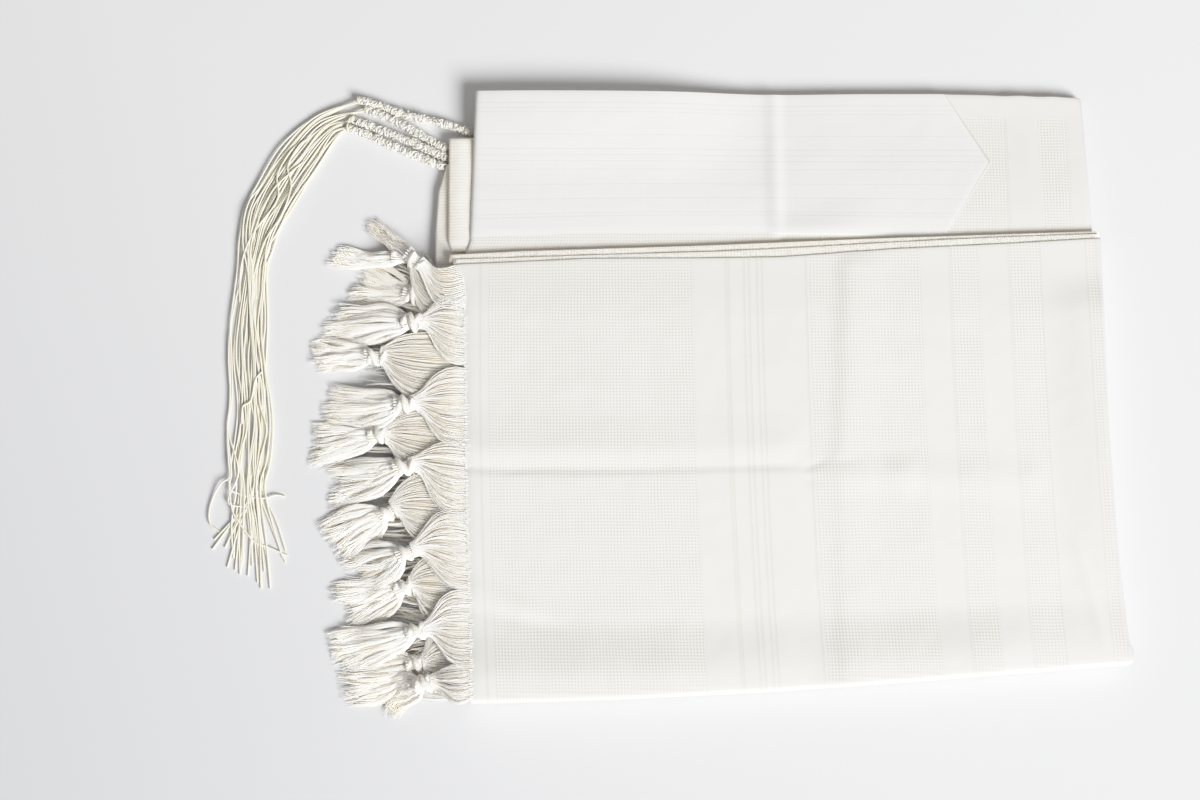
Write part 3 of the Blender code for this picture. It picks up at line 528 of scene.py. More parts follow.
# %% Lay a sheet of cloth
def lay_sheet(name, across, along, lie, cut, wall, ridge=lambda a, b: 0.0):
    """A grid with its columns and rows at the stops; lie and cut place each on the shawl and uncut.

    ridge says how much a place is on the ridge of a side fold, where shade is painted.
    """
    pick(floor)
    columns, rows = len(across) - 1, len(along) - 1
    bpy.ops.mesh.primitive_grid_add(x_subdivisions=columns, y_subdivisions=rows, size=2.0)
    made = bpy.context.object
    made.name = name
    mesh = made.data
    mesh.name = name
    stops = [(across[round((vertex.co.x + 1.0) / 2.0 * columns)],
              along[round((vertex.co.y + 1.0) / 2.0 * rows)]) for vertex in mesh.vertices]
    for vertex, stop in zip(mesh.vertices, stops):
        vertex.co = Vector(lie(*stop)) * MM
    flat = mesh.uv_layers[0]
    flat.name = "cloth"
    for loop in mesh.loops:
        flat.data[loop.index].uv = Vector(cut(*stops[loop.vertex_index])) * MM
    # The share of painted shade on a side fold's ridge, which the finish reads.
    turned = mesh.attributes.new("turned", "FLOAT", "POINT")
    turned.data.foreach_set("value", [ridge(*stop) for stop in stops])
    pick(made)
    bpy.ops.object.shade_smooth()
    solidify = made.modifiers.new("wall", "SOLIDIFY")
    solidify.thickness = wall * MM
    solidify.offset = -1.0
    solidify.use_even_offset = False
    bpy.ops.object.modifier_apply(modifier="wall")
    return made


print("sheets ready")

# %% Spin threads
def spin_threads(name, threads, radius, rounds=0):
    """Threads, each its points with one width or one for each, as splines of one curve, made a mesh."""
    curve = bpy.data.curves.new(name, "CURVE")
    curve.dimensions = "3D"
    curve.bevel_depth = radius * MM
    curve.bevel_resolution = rounds
    curve.use_fill_caps = True
    for points, widths in threads:
        if isinstance(widths, float):
            widths = [widths] * len(points)
        spline = curve.splines.new("POLY")
        spline.points.add(len(points) - 1)
        spline.points.foreach_set("co", [c for p in points for c in (p.x * MM, p.y * MM, p.z * MM, 1.0)])
        spline.points.foreach_set("radius", widths)
    made = bpy.data.objects.new(name, curve)
    bpy.context.scene.collection.objects.link(made)
    pick(made)
    bpy.ops.object.convert(target="MESH")
    bpy.ops.object.shade_smooth()
    return bpy.context.object


def raised(plan, high, low=0.0, count=99):
    """A way drawn in plan, as points: the first few at one height, and the rest at another."""
    return [Vector((x, y, high if k < count else low)) for k, (x, y) in enumerate(plan)]


def bent(stops, count):
    """Points on one smooth curve through the stops, evenly shared out between them."""
    points = []
    for step in range(count + 1):
        at = step / count * (len(stops) - 1)
        k = min(int(at), len(stops) - 2)
        t = at - k
        before = stops[max(k - 1, 0)]
        start, end = stops[k], stops[k + 1]
        after = stops[min(k + 2, len(stops) - 1)]
        points.append(0.5 * (2.0 * start + (end - before) * t
                             + (2.0 * before - 5.0 * start + 4.0 * end - after) * t * t
                             + (3.0 * start - before - 3.0 * end + after) * t * t * t))
    return points


print("threads ready")

# %% [markdown]
# ## The front panel
# It is one layer of the cloth: raw warp edge at the left, a soft fold down the right side, a thick roll
# along the bottom, and a hem at the top. The grid's right columns and bottom rows turn round the folds,
# so the stripes go round with them. Old folds have left creases: each is a row of a table, with the
# width of its two slopes and its depth, and no two are alike.

# %% Outline and heights of the front panel
WALL = 1.0                      # walls of the cloth, in mm; all sizes from here on are too
FRONT_TOP = 18.0
SIDE_FOLD, BOTTOM_FOLD = 5.0, 7.0       # how far each fold stands out,
SIDE_END, BOTTOM_END = 4.3, 0.9         # and the height where it ends below
front_left = outline((-210, -216.4), (-185, -217.4), (-163, -218.2), (-60, -221.9), (30, -223.8),
                     (70, -224.8), (84, -227), (91, -231), (95, -234.6), (98, -235.2))
front_right = outline((-210, 231.5), (-184, 232), (-176, 233.6), (-168, 230.6), (-106, 226), (-24, 223),
                      (53, 223), (113, 223.8))
front_bottom = outline((-230, -209.9), (-198, -209.5), (-118, -207.2), (-9, -201.8), (76, -195.8),
                       (160, -189.4), (235, -183.6))
front_edge = outline((-236, 91.2), (-228, 94), (-187, 95.7), (-140, 98), (-60, 98.4), (-3, 99.2),
                     (42, 102.5), (80, 105.2), (160, 109), (223, 112.8))

# The sharp crease across: its profile from the top down, as height above the even cloth
CREASE_Y = -50.3
ACROSS_PROFILE = outline((-60, 0), (-30, 0.20), (-8, 0.50), (-4, 0.55), (-1.6, 0.30), (0, -0.55),
                         (2, -0.35), (6, 0.35), (11, 1.05), (15, 1.30), (19, 1.15), (28, 0.55),
                         (38, 0.05), (48, -0.10), (70, 0))
# Creases: from and to in plan, width of the slope above and below, height, and 2 for a rounded line
CREASES = ((10, -50, 26, -44, 3.5, 5, -0.9, 1.5), (9, -57, 23, -61, 4, 3, -0.6, 1.5),
           (14, -53, 24, -52, 3, 3.5, 0.5, 1.5), (30, -46, 52, -43, 7, 8, -0.35, 2),
           (20, -53, 90, -54, 20, 22, 0.9, 2), (70, -54, 178, -58, 22, 26, 0.8, 2),
           (48, 118, 39, -46, 42, 16, 1.05, 2), (39, -44, 38, -196, 36, 14, 0.55, 2),
           (170, 104, 232, 84, 10, 40, -0.8, 2), (-224, -128, -168, -150, 12, 14, 0.45, 2),
           (-224, -146, -150, -160, 9, 10, -0.40, 2), (196, -96, 214, -176, 7, 9, 0.35, 2),
           (-160, 10, -90, -2, 22, 24, 0.25, 2), (60, 30, 150, 24, 20, 26, 0.20, 2),
           (80, -100, 190, -112, 24, 26, 0.25, 2))
UPRIGHT_CREASES = CREASES[6:8]  # the only ones that run on below the hem
CREASE_END = 7.0                # a crease runs out over a few times this length
# The roll along the bottom stands up: line of its crest, and how wide its slope is above that
ROLL_CREST = outline((-230, -190), (-60, -188), (60, -180), (180, -174), (232, -171))
ROLL_RISE = outline((-230, 4.3), (-80, 4.5), (-30, 3.1), (15, 2.8), (50, 4.2), (140, 4), (185, 2.6),
                    (232, 2.2))
RIGHT_RISE = 2.4                # the folds under the right side lift it
TOP_DROOP = 1.1                 # and the hem lies lower than the rest


def crease_height(x, y, crease):
    """One crease at a place: two slopes that meet on its line, and run out at its ends."""
    x0, y0, x1, y1, above, below, height, power = crease
    run = Vector((x1 - x0, y1 - y0))
    ahead = Vector((x - x0, y - y0))
    share = ahead.dot(run) / run.length_squared
    aside = (run.x * ahead.y - run.y * ahead.x) / run.length
    slope = 1.0 - min(1.0, abs(aside) / (above if aside > 0.0 else below))
    if power >= 2.0:
        slope = slope * slope * (3.0 - 2.0 * slope)
    end = CREASE_END / run.length
    begun = soft(-end, 2.0 * end, share)
    ended = soft(1.0 - 2.0 * end, 1.0 + end, share)
    return height * slope ** min(power, 1.5) * begun * (1.0 - ended)


def front_relief(x, y):
    """Creases, the roll's crest and a slight unevenness, none of them at the hem."""
    height = sum(crease_height(x, y, crease) for crease in CREASES)
    sharp = (1.0 - soft(-6.0, 20.0, x)) * (0.8 + 0.2 * math.sin(x / 37.0))
    height += sharp * ACROSS_PROFILE(y - CREASE_Y - 1.2 * math.sin(x / 60.0 + 1.0))
    crest = ROLL_CREST(x)
    beyond = crest - y
    height += ROLL_RISE(x) * (soft(-36.0, 4.0, beyond) - 0.20 * soft(4.0, 32.0, beyond))
    height += RIGHT_RISE * soft(178.0, 222.0, x + 0.05 * y) * (0.35 + 0.65 * soft(-150.0, -60.0, y))
    slow = noise.noise((x / 38.0, y / 46.0, 3.0))
    height += 0.28 * slow + 0.10 * noise.noise((x / 11.0, y / 13.0, 8.0))
    upright = sum(crease_height(x, y, crease) for crease in UPRIGHT_CREASES)
    below_hem = soft(90.0, 60.0, y)
    return height * below_hem + upright * soft(104.0, 92.0, y) * (1.0 - below_hem)


def front_flat(share_x, share_y):
    """A point between the outline's four edges, by its share of the way across and up."""
    x = mix(-226.0, 224.0, share_x)     # a first guess, which three rounds put right
    for _ in range(3):
        y = mix(front_bottom(x) + BOTTOM_FOLD, front_edge(x) - 1.0, share_y)
        x = mix(front_left(y), front_right(y) - SIDE_FOLD, share_x)
    droop = 0.5 * hump(share_x, 0.012) * soft(86.0, 78.0, y) + TOP_DROOP * soft(55.0, 97.0, y)
    return Vector((x, y, FRONT_TOP + front_relief(x, y) - droop))


print(len(CREASES), "creases")

# %% Make the front panel
SIDE_ARC = 10.0                 # cloth that goes round the side fold, the bottom roll and the hem
BOTTOM_ARC = 14.0
HEM_ARC = 1.8
CUT_LEFT, CUT_BOTTOM = 224.6, 230.0     # the uncut cloth's corner, left of and below the origin
FLAT_WIDE, FLAT_HIGH = 447.0, 300.0
PRESSED = 0.45                  # 1 for a round fold; less is more squarely pressed
LEAN, LEAN_POWER = 8.0, 1.9     # the stripes lean to the right, more and more towards the bottom,
LEAN_FROM, LEAN_HIGH = 82.0, 282.0      # from so far up, and over so much


def front_lie(a, b):
    """Where the cloth lies: a and b go across and up the flat part, and beyond it round the folds."""
    point = front_flat(min(a, FLAT_WIDE) / FLAT_WIDE, min(max(b, 0.0), FLAT_HIGH) / FLAT_HIGH)
    side = max(0.0, a - FLAT_WIDE) / SIDE_ARC
    bottom = max(0.0, -b) / BOTTOM_ARC
    turn = max(side, bottom)
    if turn > 0.0:
        heading = math.radians(45.0) * (bottom / side if side >= bottom else 2.0 - side / bottom)
        toward_bottom = math.sin(heading) ** 2
        angle = math.radians(90.0) * turn
        out = mix(SIDE_FOLD, BOTTOM_FOLD, toward_bottom) * math.sin(angle) ** PRESSED
        drop = (point.z - mix(SIDE_END, BOTTOM_END, toward_bottom)) * (1.0 - math.cos(angle) ** PRESSED)
        point += Vector((out * math.cos(heading), -out * math.sin(heading), -drop))
    if b > FLAT_HIGH:
        angle = math.radians(90.0) * (b - FLAT_HIGH) / HEM_ARC
        point += Vector((0.0, math.sin(angle), -1.0 * (1.0 - math.cos(angle))))
    return point


def fold_shade_share(turn):
    """How much painted shade a place gets on a side fold's ridge, by its share of the way round the fold.
    """
    return hump(turn - 0.35, 0.45)


def front_cut(a, b):
    """The same place on the uncut cloth, where the stripes run straight."""
    point = front_flat(min(a, FLAT_WIDE) / FLAT_WIDE, min(max(b, 0.0), FLAT_HIGH) / FLAT_HIGH)
    lean = LEAN * (max(0.0, LEAN_FROM - point.y) / LEAN_HIGH) ** LEAN_POWER
    return point.x + CUT_LEFT - lean + max(0.0, a - FLAT_WIDE), point.y + CUT_BOTTOM + min(0.0, b)


across = stepped(0.0, 4, 4.0, 160, FLAT_WIDE, 9, FLAT_WIDE + SIDE_ARC)
along = stepped(-BOTTOM_ARC, 12, 0.0, 124, FLAT_HIGH, 4, FLAT_HIGH + HEM_ARC)
front = lay_sheet("front_cloth", across, along, front_lie, front_cut, WALL,
                  lambda a, b: fold_shade_share((a - FLAT_WIDE) / SIDE_ARC))
dress(front, front_cloth, "shawl_cloth", "front_panel")

# %% [markdown]
# ## The folds under the flap's edge
# Two more folds of the cloth show above the front panel's hem, as rounded edges a few millimetres
# wide. Each is a narrow sheet that turns back under itself.

# %% Make the two rounded edges
EDGE_WALL = 0.5
FLAP_FLOOR = 13.7
LAYER_STEP = 1.1
LAYER_HIGH = 1.05
middle_edge = outline((-232, 97.5), (-101, 101.6), (-45, 103.2), (21, 106.6), (81, 110), (150, 113.4),
                      (221, 115.8))
lower_edge = outline((-235, 100.9), (-184, 103.6), (-101, 106.2), (-59, 107.6), (-8, 109.7),
                     (60, 112.6), (150, 115.6), (222, 118))
UNDER = 5.0                     # cloth that goes back under
ROUND = 1.9                     # and round the edge
REACH = 14.0                    # and on top, below the next layer
LAYER_LEFT = -222.0             # where its left side lies behind the fringe's roots


def make_edge(name, edge, left, right, bottom, node):
    """One rounded edge, from its left end to its right."""
    radius = LAYER_HIGH / 2.0

    def lie(a, b):
        x = mix(left, right, a / (right - left))
        front_y = edge(x) - radius
        sag = 0.25 * noise.noise((x / 23.0, bottom, 0.0))
        if b < REACH:
            x = mix(max(x, LAYER_LEFT), x, soft(REACH - 9.0, REACH - 3.0, b))
            return Vector((x, front_y - (REACH - b), bottom + LAYER_HIGH + sag))
        angle = math.pi * min(1.0, (b - REACH) / ROUND)
        back = max(0.0, b - REACH - ROUND)
        return Vector((x, front_y + radius * math.sin(angle) - back,
                       bottom + sag + radius + radius * math.cos(angle)))

    stops = stepped(0.0, 6, REACH, 8, REACH + ROUND, 1, REACH + ROUND + UNDER)
    made = lay_sheet(name, even(0.0, right - left, 120), stops, lie, lambda a, b: (a, b), EDGE_WALL)
    dress(made, edge_wool, "shawl_cloth", node)


make_edge("edge_of_lower_fold", lower_edge, -235.0, 222.0, FLAP_FLOOR, "flap_layer_lower")
make_edge("edge_of_middle_fold", middle_edge, -232.0, 221.0, FLAP_FLOOR + LAYER_STEP, "flap_layer_middle")

# %% [markdown]
# ## The back part
# Behind the flap lies the back panel, with its hem along the neck edge, and the band sewn on it.
# Layers under it lift it a little at the neck, and one upright fold crosses it.

# %% Outline and heights of the back part
BACK_TOP = 11.3
BACK_FOLD, BACK_END = 4.0, 3.6  # how far the right fold stands out, and the height where it ends
LEFT_FOLD, LEFT_TURN, LEFT_DROP = 3.0, 115.0, 2.0       # the left fold's reach, degrees and drop
RIDGE_X = -4.0
NECK_LEFT, NECK_RIGHT = -217.4, 215.0
back_left = outline((60, -224.2), (103, -224), (113, -220.8), (220, -217.4))
back_right = outline((60, 220.8), (120, 220.1), (195, 218), (210, 217.4), (217, 216.6))
neck_edge = outline((-218, 220.4), (-60, 220), (-4, 219.4), (60, 220.2), (118, 220.2), (150, 219.6),
                    (162, 218.9), (174, 219.3), (186, 218.4), (198, 218.6), (207, 217.8), (213, 217.5),
                    (217, 216.6))
band_low = outline((-222, 113.3), (-150, 115.8), (-76, 117.1), (-9, 117.1), (60, 116), (118, 115))
band_point = outline((112, 112.8), (115, 114.7), (169.4, 148.9), (220.2, 117.8), (224, 115.4))


def back_height(x, y):
    """Lifted by layers below at the left, lower at the right, with an upright ridge and slow waves."""
    lift = 4.5 * hump(x + 150.0, 160.0) * soft(150.0, 222.0, y)
    lift -= 3.8 * soft(-90.0, -10.0, x) * soft(120.0, 216.0, y)
    lift += 1.2 * hump(x - 40.0, 46.0) * hump(y - 120.0, 24.0)
    dip = 0.9 * soft(-12.0, 4.0, x) * (1.0 - soft(20.0, 90.0, x)) * hump(y - 110.0, 9.0)
    ridge = soft(RIDGE_X - 10.0, RIDGE_X, x) * (1.0 - soft(RIDGE_X, RIDGE_X + 6.0, x))
    wave = 0.2 + 0.2 * math.sin(x / 31.0 + 0.6) * math.sin(y / 23.0)
    fine = 0.10 * noise.noise((x / 14.0, y / 12.0, 5.0)) + 0.2 * noise.noise((x / 45.0, y / 30.0, 2.0))
    ridge = 0.85 * ridge * soft(106.0, 122.0, y)
    return BACK_TOP + lift - dip + ridge + (wave + fine) * soft(118.0, 140.0, y)


def back_lie(share, left_turn, right_turn, y):
    """A point of the back panel: a share of its width, or part of the way round one of its folds."""
    left = back_left(y) + LEFT_FOLD
    right = back_right(y) - BACK_FOLD
    x = mix(left, right, share)
    z = back_height(x, y)
    if left_turn:
        angle = math.radians(LEFT_TURN * left_turn)
        return Vector((left - LEFT_FOLD * math.sin(angle), y, z - LEFT_DROP * (1.0 - math.cos(angle))))
    if right_turn:
        angle = math.radians(90.0 * right_turn)
        x = right + BACK_FOLD * math.sin(angle)
        z -= (z - BACK_END) * (1.0 - math.cos(angle))
    return Vector((x, y, z))


def along_neck(edge, share):
    """An edge's place at a share of the neck edge's width."""
    return edge(mix(NECK_LEFT, NECK_RIGHT, share))


print("neck edge", round(neck_edge(NECK_LEFT) - neck_edge(NECK_RIGHT), 1), "mm lower at the right")

# %% Make the back panel
BACK_WIDE = 434.0
BACK_HIGH = 150.0
BACK_LOW = 70.0                 # the panel begins so far up, below the flap
LEFT_ARC, RIGHT_ARC = 5.0, 9.0
HEM_FROM = 134.0                # the plain hem along the neck edge begins so far up
BACK_FACES = ((0, MESH), (381.6, SATIN), (405.6, MESH), (426.6, SATIN))
BACK_LINES = ((380.5, 1.1), (404.6, 1))


def back_cloth_lie(a, b):
    share = min(max(a, 0.0), BACK_WIDE) / BACK_WIDE
    y = mix(BACK_LOW, along_neck(neck_edge, share) - 0.8, min(b, BACK_HIGH) / BACK_HIGH)
    point = back_lie(share, max(0.0, -a) / LEFT_ARC, max(0.0, a - BACK_WIDE) / RIGHT_ARC, y)
    if b > BACK_HIGH:
        angle = math.radians(110.0) * (b - BACK_HIGH) / HEM_ARC
        point += Vector((0.0, 0.8 * math.sin(angle), -0.9 * (1.0 - math.cos(angle))))
    return point


def back_cut(a, b):
    """The stripes run a little more upright than the panel's right edge."""
    return a + LEFT_ARC - 3.0 * a / BACK_WIDE * max(0.0, b - 40.0) / 100.0, b


back_finish = woven_cloth("back wool cloth", 446.0, BACK_FACES, BACK_LINES, HEM_FROM, shade_under_others=True)
across = stepped(-LEFT_ARC, 5, 0.0, 140, BACK_WIDE, 7, BACK_WIDE + RIGHT_ARC)
along = stepped(0.0, 50, BACK_HIGH, 4, BACK_HIGH + HEM_ARC)
back = lay_sheet("back_cloth", across, along, back_cloth_lie, back_cut, WALL,
                 lambda a, b: fold_shade_share((a - BACK_WIDE) / RIGHT_ARC))
dress(back, back_finish, "shawl_cloth", "back_panel")

# %% Make the neckband
BAND_WALL = 0.6
BAND_SHARE = 0.72               # where the band's pointed end begins, as a share of the panel's width
BAND_WIDE = BAND_SHARE * BACK_WIDE
POINT_Y = 169.4
POINT_WIDE = 34.0
BAND_RISE = 0.3                 # the band's face above the panel's


def band_lie(a, b):
    """The panel's own points, moved up; b runs from the low edge to the neck edge, the point midway."""
    share = min(max(a, 0.0), BAND_WIDE) / BACK_WIDE
    low = along_neck(band_low, share)
    middle = BAND_HEIGHT / 2.0
    if b < middle:
        y = mix(low, POINT_Y, b / middle)
    else:
        y = mix(POINT_Y, along_neck(neck_edge, share), b / middle - 1.0)
    end = max(0.0, a - BAND_WIDE) / POINT_WIDE
    if end > 0.0:
        left = back_left(y) + LEFT_FOLD
        full = (band_point(y) - left) / (back_right(y) - BACK_FOLD - left)
        share = mix(share, full, end)
    point = back_lie(share, max(0.0, -a) / LEFT_ARC, 0.0, y)
    from_edge = min(BAND_HEIGHT - b, (1.0 - end) * POINT_WIDE)
    sunk = 0.32 * (1.0 - soft(0.0, 5.0, b)) + 0.2 * (1.0 - soft(0.0, 3.0, from_edge))
    lifted = 0.8 * soft(-8.0, 3.0, point.x) * (1.0 - soft(8.0, 78.0, point.x))
    lifted *= 1.0 - soft(0.0, 15.0, b)
    side = max(0.0, -a) / LEFT_ARC
    point.z += (BAND_RISE - sunk) * (1.0 - 0.6 * side) + lifted
    point.x -= BAND_RISE * math.sin(math.radians(LEFT_TURN) * side)
    return point


full_wide = BAND_WIDE + POINT_WIDE
across = stepped(-LEFT_ARC, 5, 0.0, 110, BAND_WIDE, 16, full_wide - 1.2) + [full_wide - 0.5, full_wide]
along = [0.0, 0.5, 1.2] + even(2.4, BAND_HEIGHT - 2.4, 40)
along += [BAND_HEIGHT - 1.2, BAND_HEIGHT - 0.5, BAND_HEIGHT]
band = lay_sheet("band_cloth", across, along, band_lie, lambda a, b: (a + LEFT_ARC, b), BAND_WALL)
dress(band, band_finish, "band_cloth", "neckband")

# %% [markdown]
# ## The side folds
# Two narrow folds of the cloth stand out at the left, below the band's end: each goes in under, turns
# round its left edge, and comes back over.

# %% Make the side folds
SIDE_RIGHT = -214.9
upper_fold = outline((104, -234), (112, -236.4), (150, -236.6), (184.5, -236.6))
lower_fold = outline((91, -243.8), (99, -245.4), (120, -245.9), (149, -244.2), (167, -239))


def make_side(name, left_edge, low_y, high_y, low_z, high_z, rise, node):
    """A fold from its lower end, which rises, to its upper; b runs up it, a round it from below."""
    high = high_y - low_y
    radius = (high_z - low_z) / 2.0
    turn = math.pi * radius
    run = SIDE_RIGHT - left_edge((low_y + high_y) / 2.0) - radius

    def lie(a, b):
        y = low_y + b
        left = left_edge(y) + radius
        lift = rise * (1.0 - soft(92.0, 128.0, y))
        near_end = 1.0 - 0.20 * (1.0 - soft(0.0, 7.0, b)) - 0.15 * (1.0 - soft(0.0, 3.0, high - b))
        if a < run:
            x, z = mix(SIDE_RIGHT, left, a / run), low_z
        elif a < run + turn:
            angle = math.pi * (a - run) / turn
            x, z = left - radius * math.sin(angle), low_z + radius - radius * math.cos(angle)
        else:
            share = (a - run - turn) / run
            x = mix(left, SIDE_RIGHT, share)
            z = high_z + 0.5 * hump(share - 0.3, 0.35) - 0.3 * share ** 2
        z = low_z + (z - low_z) * near_end + 0.12 * noise.noise((x / 7.0, y / 9.0, 1.0))
        return Vector((x, y, max(z + lift, 0.02)))

    ways = stepped(0.0, 4, run, 12, run + turn, 12, 2.0 * run + turn)
    made = lay_sheet(name, ways, even(0.0, high, 40), lie, lambda a, b: (a, b), EDGE_WALL)
    dress(made, side_wool, "shawl_cloth", node)
    (2.0 * run + turn) * MM


make_side("side_fold_above", upper_fold, 104.0, 187.5, 5.8, 9.4, 1.0, "side_fold_upper")
make_side("side_fold_below", lower_fold, 90.0, 169.0, 2.2, 5.8, 3.0, "side_fold_lower")

# %% [markdown]
# ## The hidden layers
# Between the panels and the table lie nine or more layers that only show as edges round the sides. The
# solid has their grooves already, so a copy of it is merged, made of quads again, and smoothed.

# %% Make the edges of the hidden layers
pick(frame["nodes"]["folded_stack"])
bpy.ops.object.duplicate()
stack = bpy.context.object
stack.name = "hidden_layers"
stack.parent = None
bpy.ops.object.mode_set(mode="EDIT")
bpy.ops.mesh.select_all(action="SELECT")
bpy.ops.mesh.remove_doubles(threshold=0.00001)
bpy.ops.mesh.tris_convert_to_quads()
bpy.ops.mesh.subdivide(number_cuts=1)
bpy.ops.object.mode_set(mode="OBJECT")
smoothing = stack.modifiers.new("smoothing", "SUBSURF")
smoothing.levels = 2
smoothing.render_levels = 2
bpy.ops.object.modifier_apply(modifier="smoothing")
bpy.ops.object.shade_smooth()
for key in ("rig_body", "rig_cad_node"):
    del stack[key]
dress(stack, edge_wool, "shawl_cloth", "folded_stack")

# %% [markdown]
# ## The fringe
# The raw edge's warp threads are gathered in bunches of about a hundred, and each bunch is tied in one
# overhand knot, with a brush of loose ends beyond it. Seven bunches hang from the front panel and
# seven from the layers below. Every thread here is a spline: it leaves the cloth square to the edge,
# swings in to the knot, and starts again behind it in one of twelve locks, four to a wisp.

# %% Where the bunches are
# Root: middle and width along the edge. Then the knot, the end of the tail, and half the tail's width
FRINGE = {
    "upper": ((79.5, 27, -258.5, 98, -295, 127.5, 4), (46, 49, -259, 53, -326.8, 50.9, 15),
              (-6.5, 54, -264, -4, -325.5, -9.3, 18.5), (-57, 49, -264, -48, -320.2, -61.8, 16),
              (-107, 52, -261, -107, -302.3, -125, 18.5),
              (-158.5, 50, -253, -161, -317.7, -179, 14.5),
              (-194, 24, -247, -196, -283, -208.5, 13)),
    "lower": ((66, 24, -268, 100, -322.1, 102.1, 5), (60, 30, -260, 73, -305.6, 83.6, 18.5),
              (20, 44, -286, 30, -331.6, 31.1, 11), (-33, 48, -282, -26, -332.9, -32.4, 14.5),
              (-80, 48, -275, -79, -317.4, -104.4, 18.5),
              (-134, 48, -262, -131, -309.7, -146.9, 18.5),
              (-178, 46, -253, -183, -311, -192, 20))}
ROOT_Z = {"upper": FRONT_TOP - 0.1, "lower": 14.2}
PUFF = {"upper": 12.0, "lower": 26.0}    # how much a fan swells out sideways
KNOT_Z = {"upper": 12.9, "lower": 7.6}
THREAD = 0.27                   # radius of a thread
FAN_STEPS = 9                   # steps of a thread on its way to the knot
UNDER_THREADS, UNDER_STEPS = 130, 7     # slack threads under a bunch, and their steps
THREAD_STEP = 0.41              # from one thread to the next along the edge
CORE = 3.2                      # a soft mass of wool under the threads is so many times as thick
UP = Vector((0.0, 0.0, 1.0))
print(sum(len(rows) for rows in FRINGE.values()), "bunches")

# %% Threads from the cloth's edge to a knot
def curve_between(start, way_out, end, way_in, count):
    """A cubic curve from start, leaving along way_out, to end, arriving along way_in."""
    points = []
    for step in range(count + 1):
        t = step / count
        r = 1.0 - t
        points.append(start * r ** 3 + (start + way_out) * (3.0 * r * r * t)
                      + (end - way_in) * (3.0 * r * t * t) + end * t ** 3)
    return points


def knot_frame(row, layer):
    """The knot's place, and the ways along its tail and to its side."""
    knot = Vector((row[2], row[3], KNOT_Z[layer]))
    along = Vector((row[4] - row[2], row[5] - row[3], 0.0)).normalized()
    return knot, along, along.cross(UP)


def fan_threads(row, layer):
    """One spline for each warp thread of a bunch, in three depths and in locks that rise together."""
    root_y, root_wide = row[:2]
    knot, along, side = knot_frame(row, layer)
    threads = []
    count = round(root_wide / THREAD_STEP)
    turn = -1.0 if side.y < 0.0 else 1.0
    sweep = chance.uniform(-5.0, 5.0) - 6.0 * soft(70.0, 80.0, root_y)
    out, gathered = (0.60, 9.5) if layer == "upper" else (0.80, 13.0)
    for k in range(count):
        share = (k + 0.5) / count
        depth = k % 3
        y = root_y + root_wide * (share - 0.5) + chance.uniform(-0.2, 0.2)
        lock = 2.0 * noise.noise((y / 3.2, knot.x, 0.0))
        gather = 2.0 * noise.noise((y / 4.0, knot.x, 7.0)) + noise.noise((y / 1.5, knot.x, 3.0))
        relief = front_relief(front_left(y) + 2.0, y) if layer == "upper" else 0.5
        inside = chance.random() ** 2 * (4.0 - 3.0 * soft(66.0, 76.0, y)) if depth == 0 else 2.4
        start = Vector((front_left(y) + inside, y, ROOT_Z[layer] + relief - 0.35 * depth))
        across = (share - 0.5) * turn
        high = 3.6 - 2.9 * depth - 6.0 * across * across
        end = knot - along * 3.5 + side * (across * gathered) + UP * high
        reach = (end - start).length
        swing = 0.6 * gather + PUFF[layer] * (share - 0.5) + sweep
        way_out = Vector((-out * reach, swing, 0.8 + 0.3 * lock))
        points = curve_between(start, way_out, end, along * ((0.90 - out) * reach), FAN_STEPS)
        for step, point in enumerate(points[1:-1], start=1):
            swell = math.sin(math.pi * step / FAN_STEPS)
            point += Vector((0.0, 0.5 * gather * swell + chance.uniform(-0.2, 0.2),
                             0.3 * lock * swell + chance.uniform(-0.08, 0.08)))
        threads.append((points, 1.0 if depth else 1.1))
        if k % 3 == 1:
            lower = [point - UP * 1.4 for point in points]
            threads.append((lower, [1.0] + [CORE] * (FAN_STEPS - 1) + [1.0]))
    return threads


print("fan of", len(fan_threads(FRINGE["upper"][1], "upper")), "threads")

# %% Threads under the bunches
def under_threads(row):
    """Slack threads of the layers below, which lie on the table between the bunches and hide it."""
    root_y, root_wide, knot_x, knot_y = row[:4]
    threads = []
    for k in range(UNDER_THREADS):
        share = chance.random() - 0.5
        y = root_y + 1.25 * root_wide * share
        phase = chance.uniform(0.0, math.tau)
        deep = chance.random()
        end = Vector((mix(-252.0, knot_x - 16.0, chance.random()),
                      mix(y, knot_y + 34.0 * share, 0.6), 0.8))
        end.y += chance.gauss(0.0, 4.0)
        start = Vector((front_left(y) + 1.0, y, mix(13.5, 9.5, deep)))
        points = curve_between(start, Vector((-24.0, chance.gauss(0.0, 3.0), 1.0)), end,
                               Vector((-6.0, chance.gauss(0.0, 4.0), -8.0 + 5.0 * deep)), UNDER_STEPS)
        for step, point in enumerate(points[1:], start=1):
            point.y += 0.8 * math.sin(phase + 0.9 * step)
            point.z = max(0.5, point.z)
        fat = 3.0 if k % 3 == 0 else 1.0
        threads.append((points, [1.0] + [fat] * (UNDER_STEPS - 2) + [mix(1.0, fat, 0.5), 0.6]))
    return threads


print("under a bunch,", len(under_threads(FRINGE["lower"][3])), "threads")

# %% The knot
# Its three lobes: where along the knot, how much each leans, its radius, and the angle it starts at
LOBES = ((-4, 3.4, 5.2, -125), (0.5, -3.8, 6.2, -60), (4.6, 3, 5, -135))
LOBE_THREADS, LOBE_STEPS = 13, 12
WRAP = 250.0                    # degrees that a lobe goes round
KNOT_RING, KNOT_MIDDLE = 14, 6  # threads in the core: round it, and inside that ring
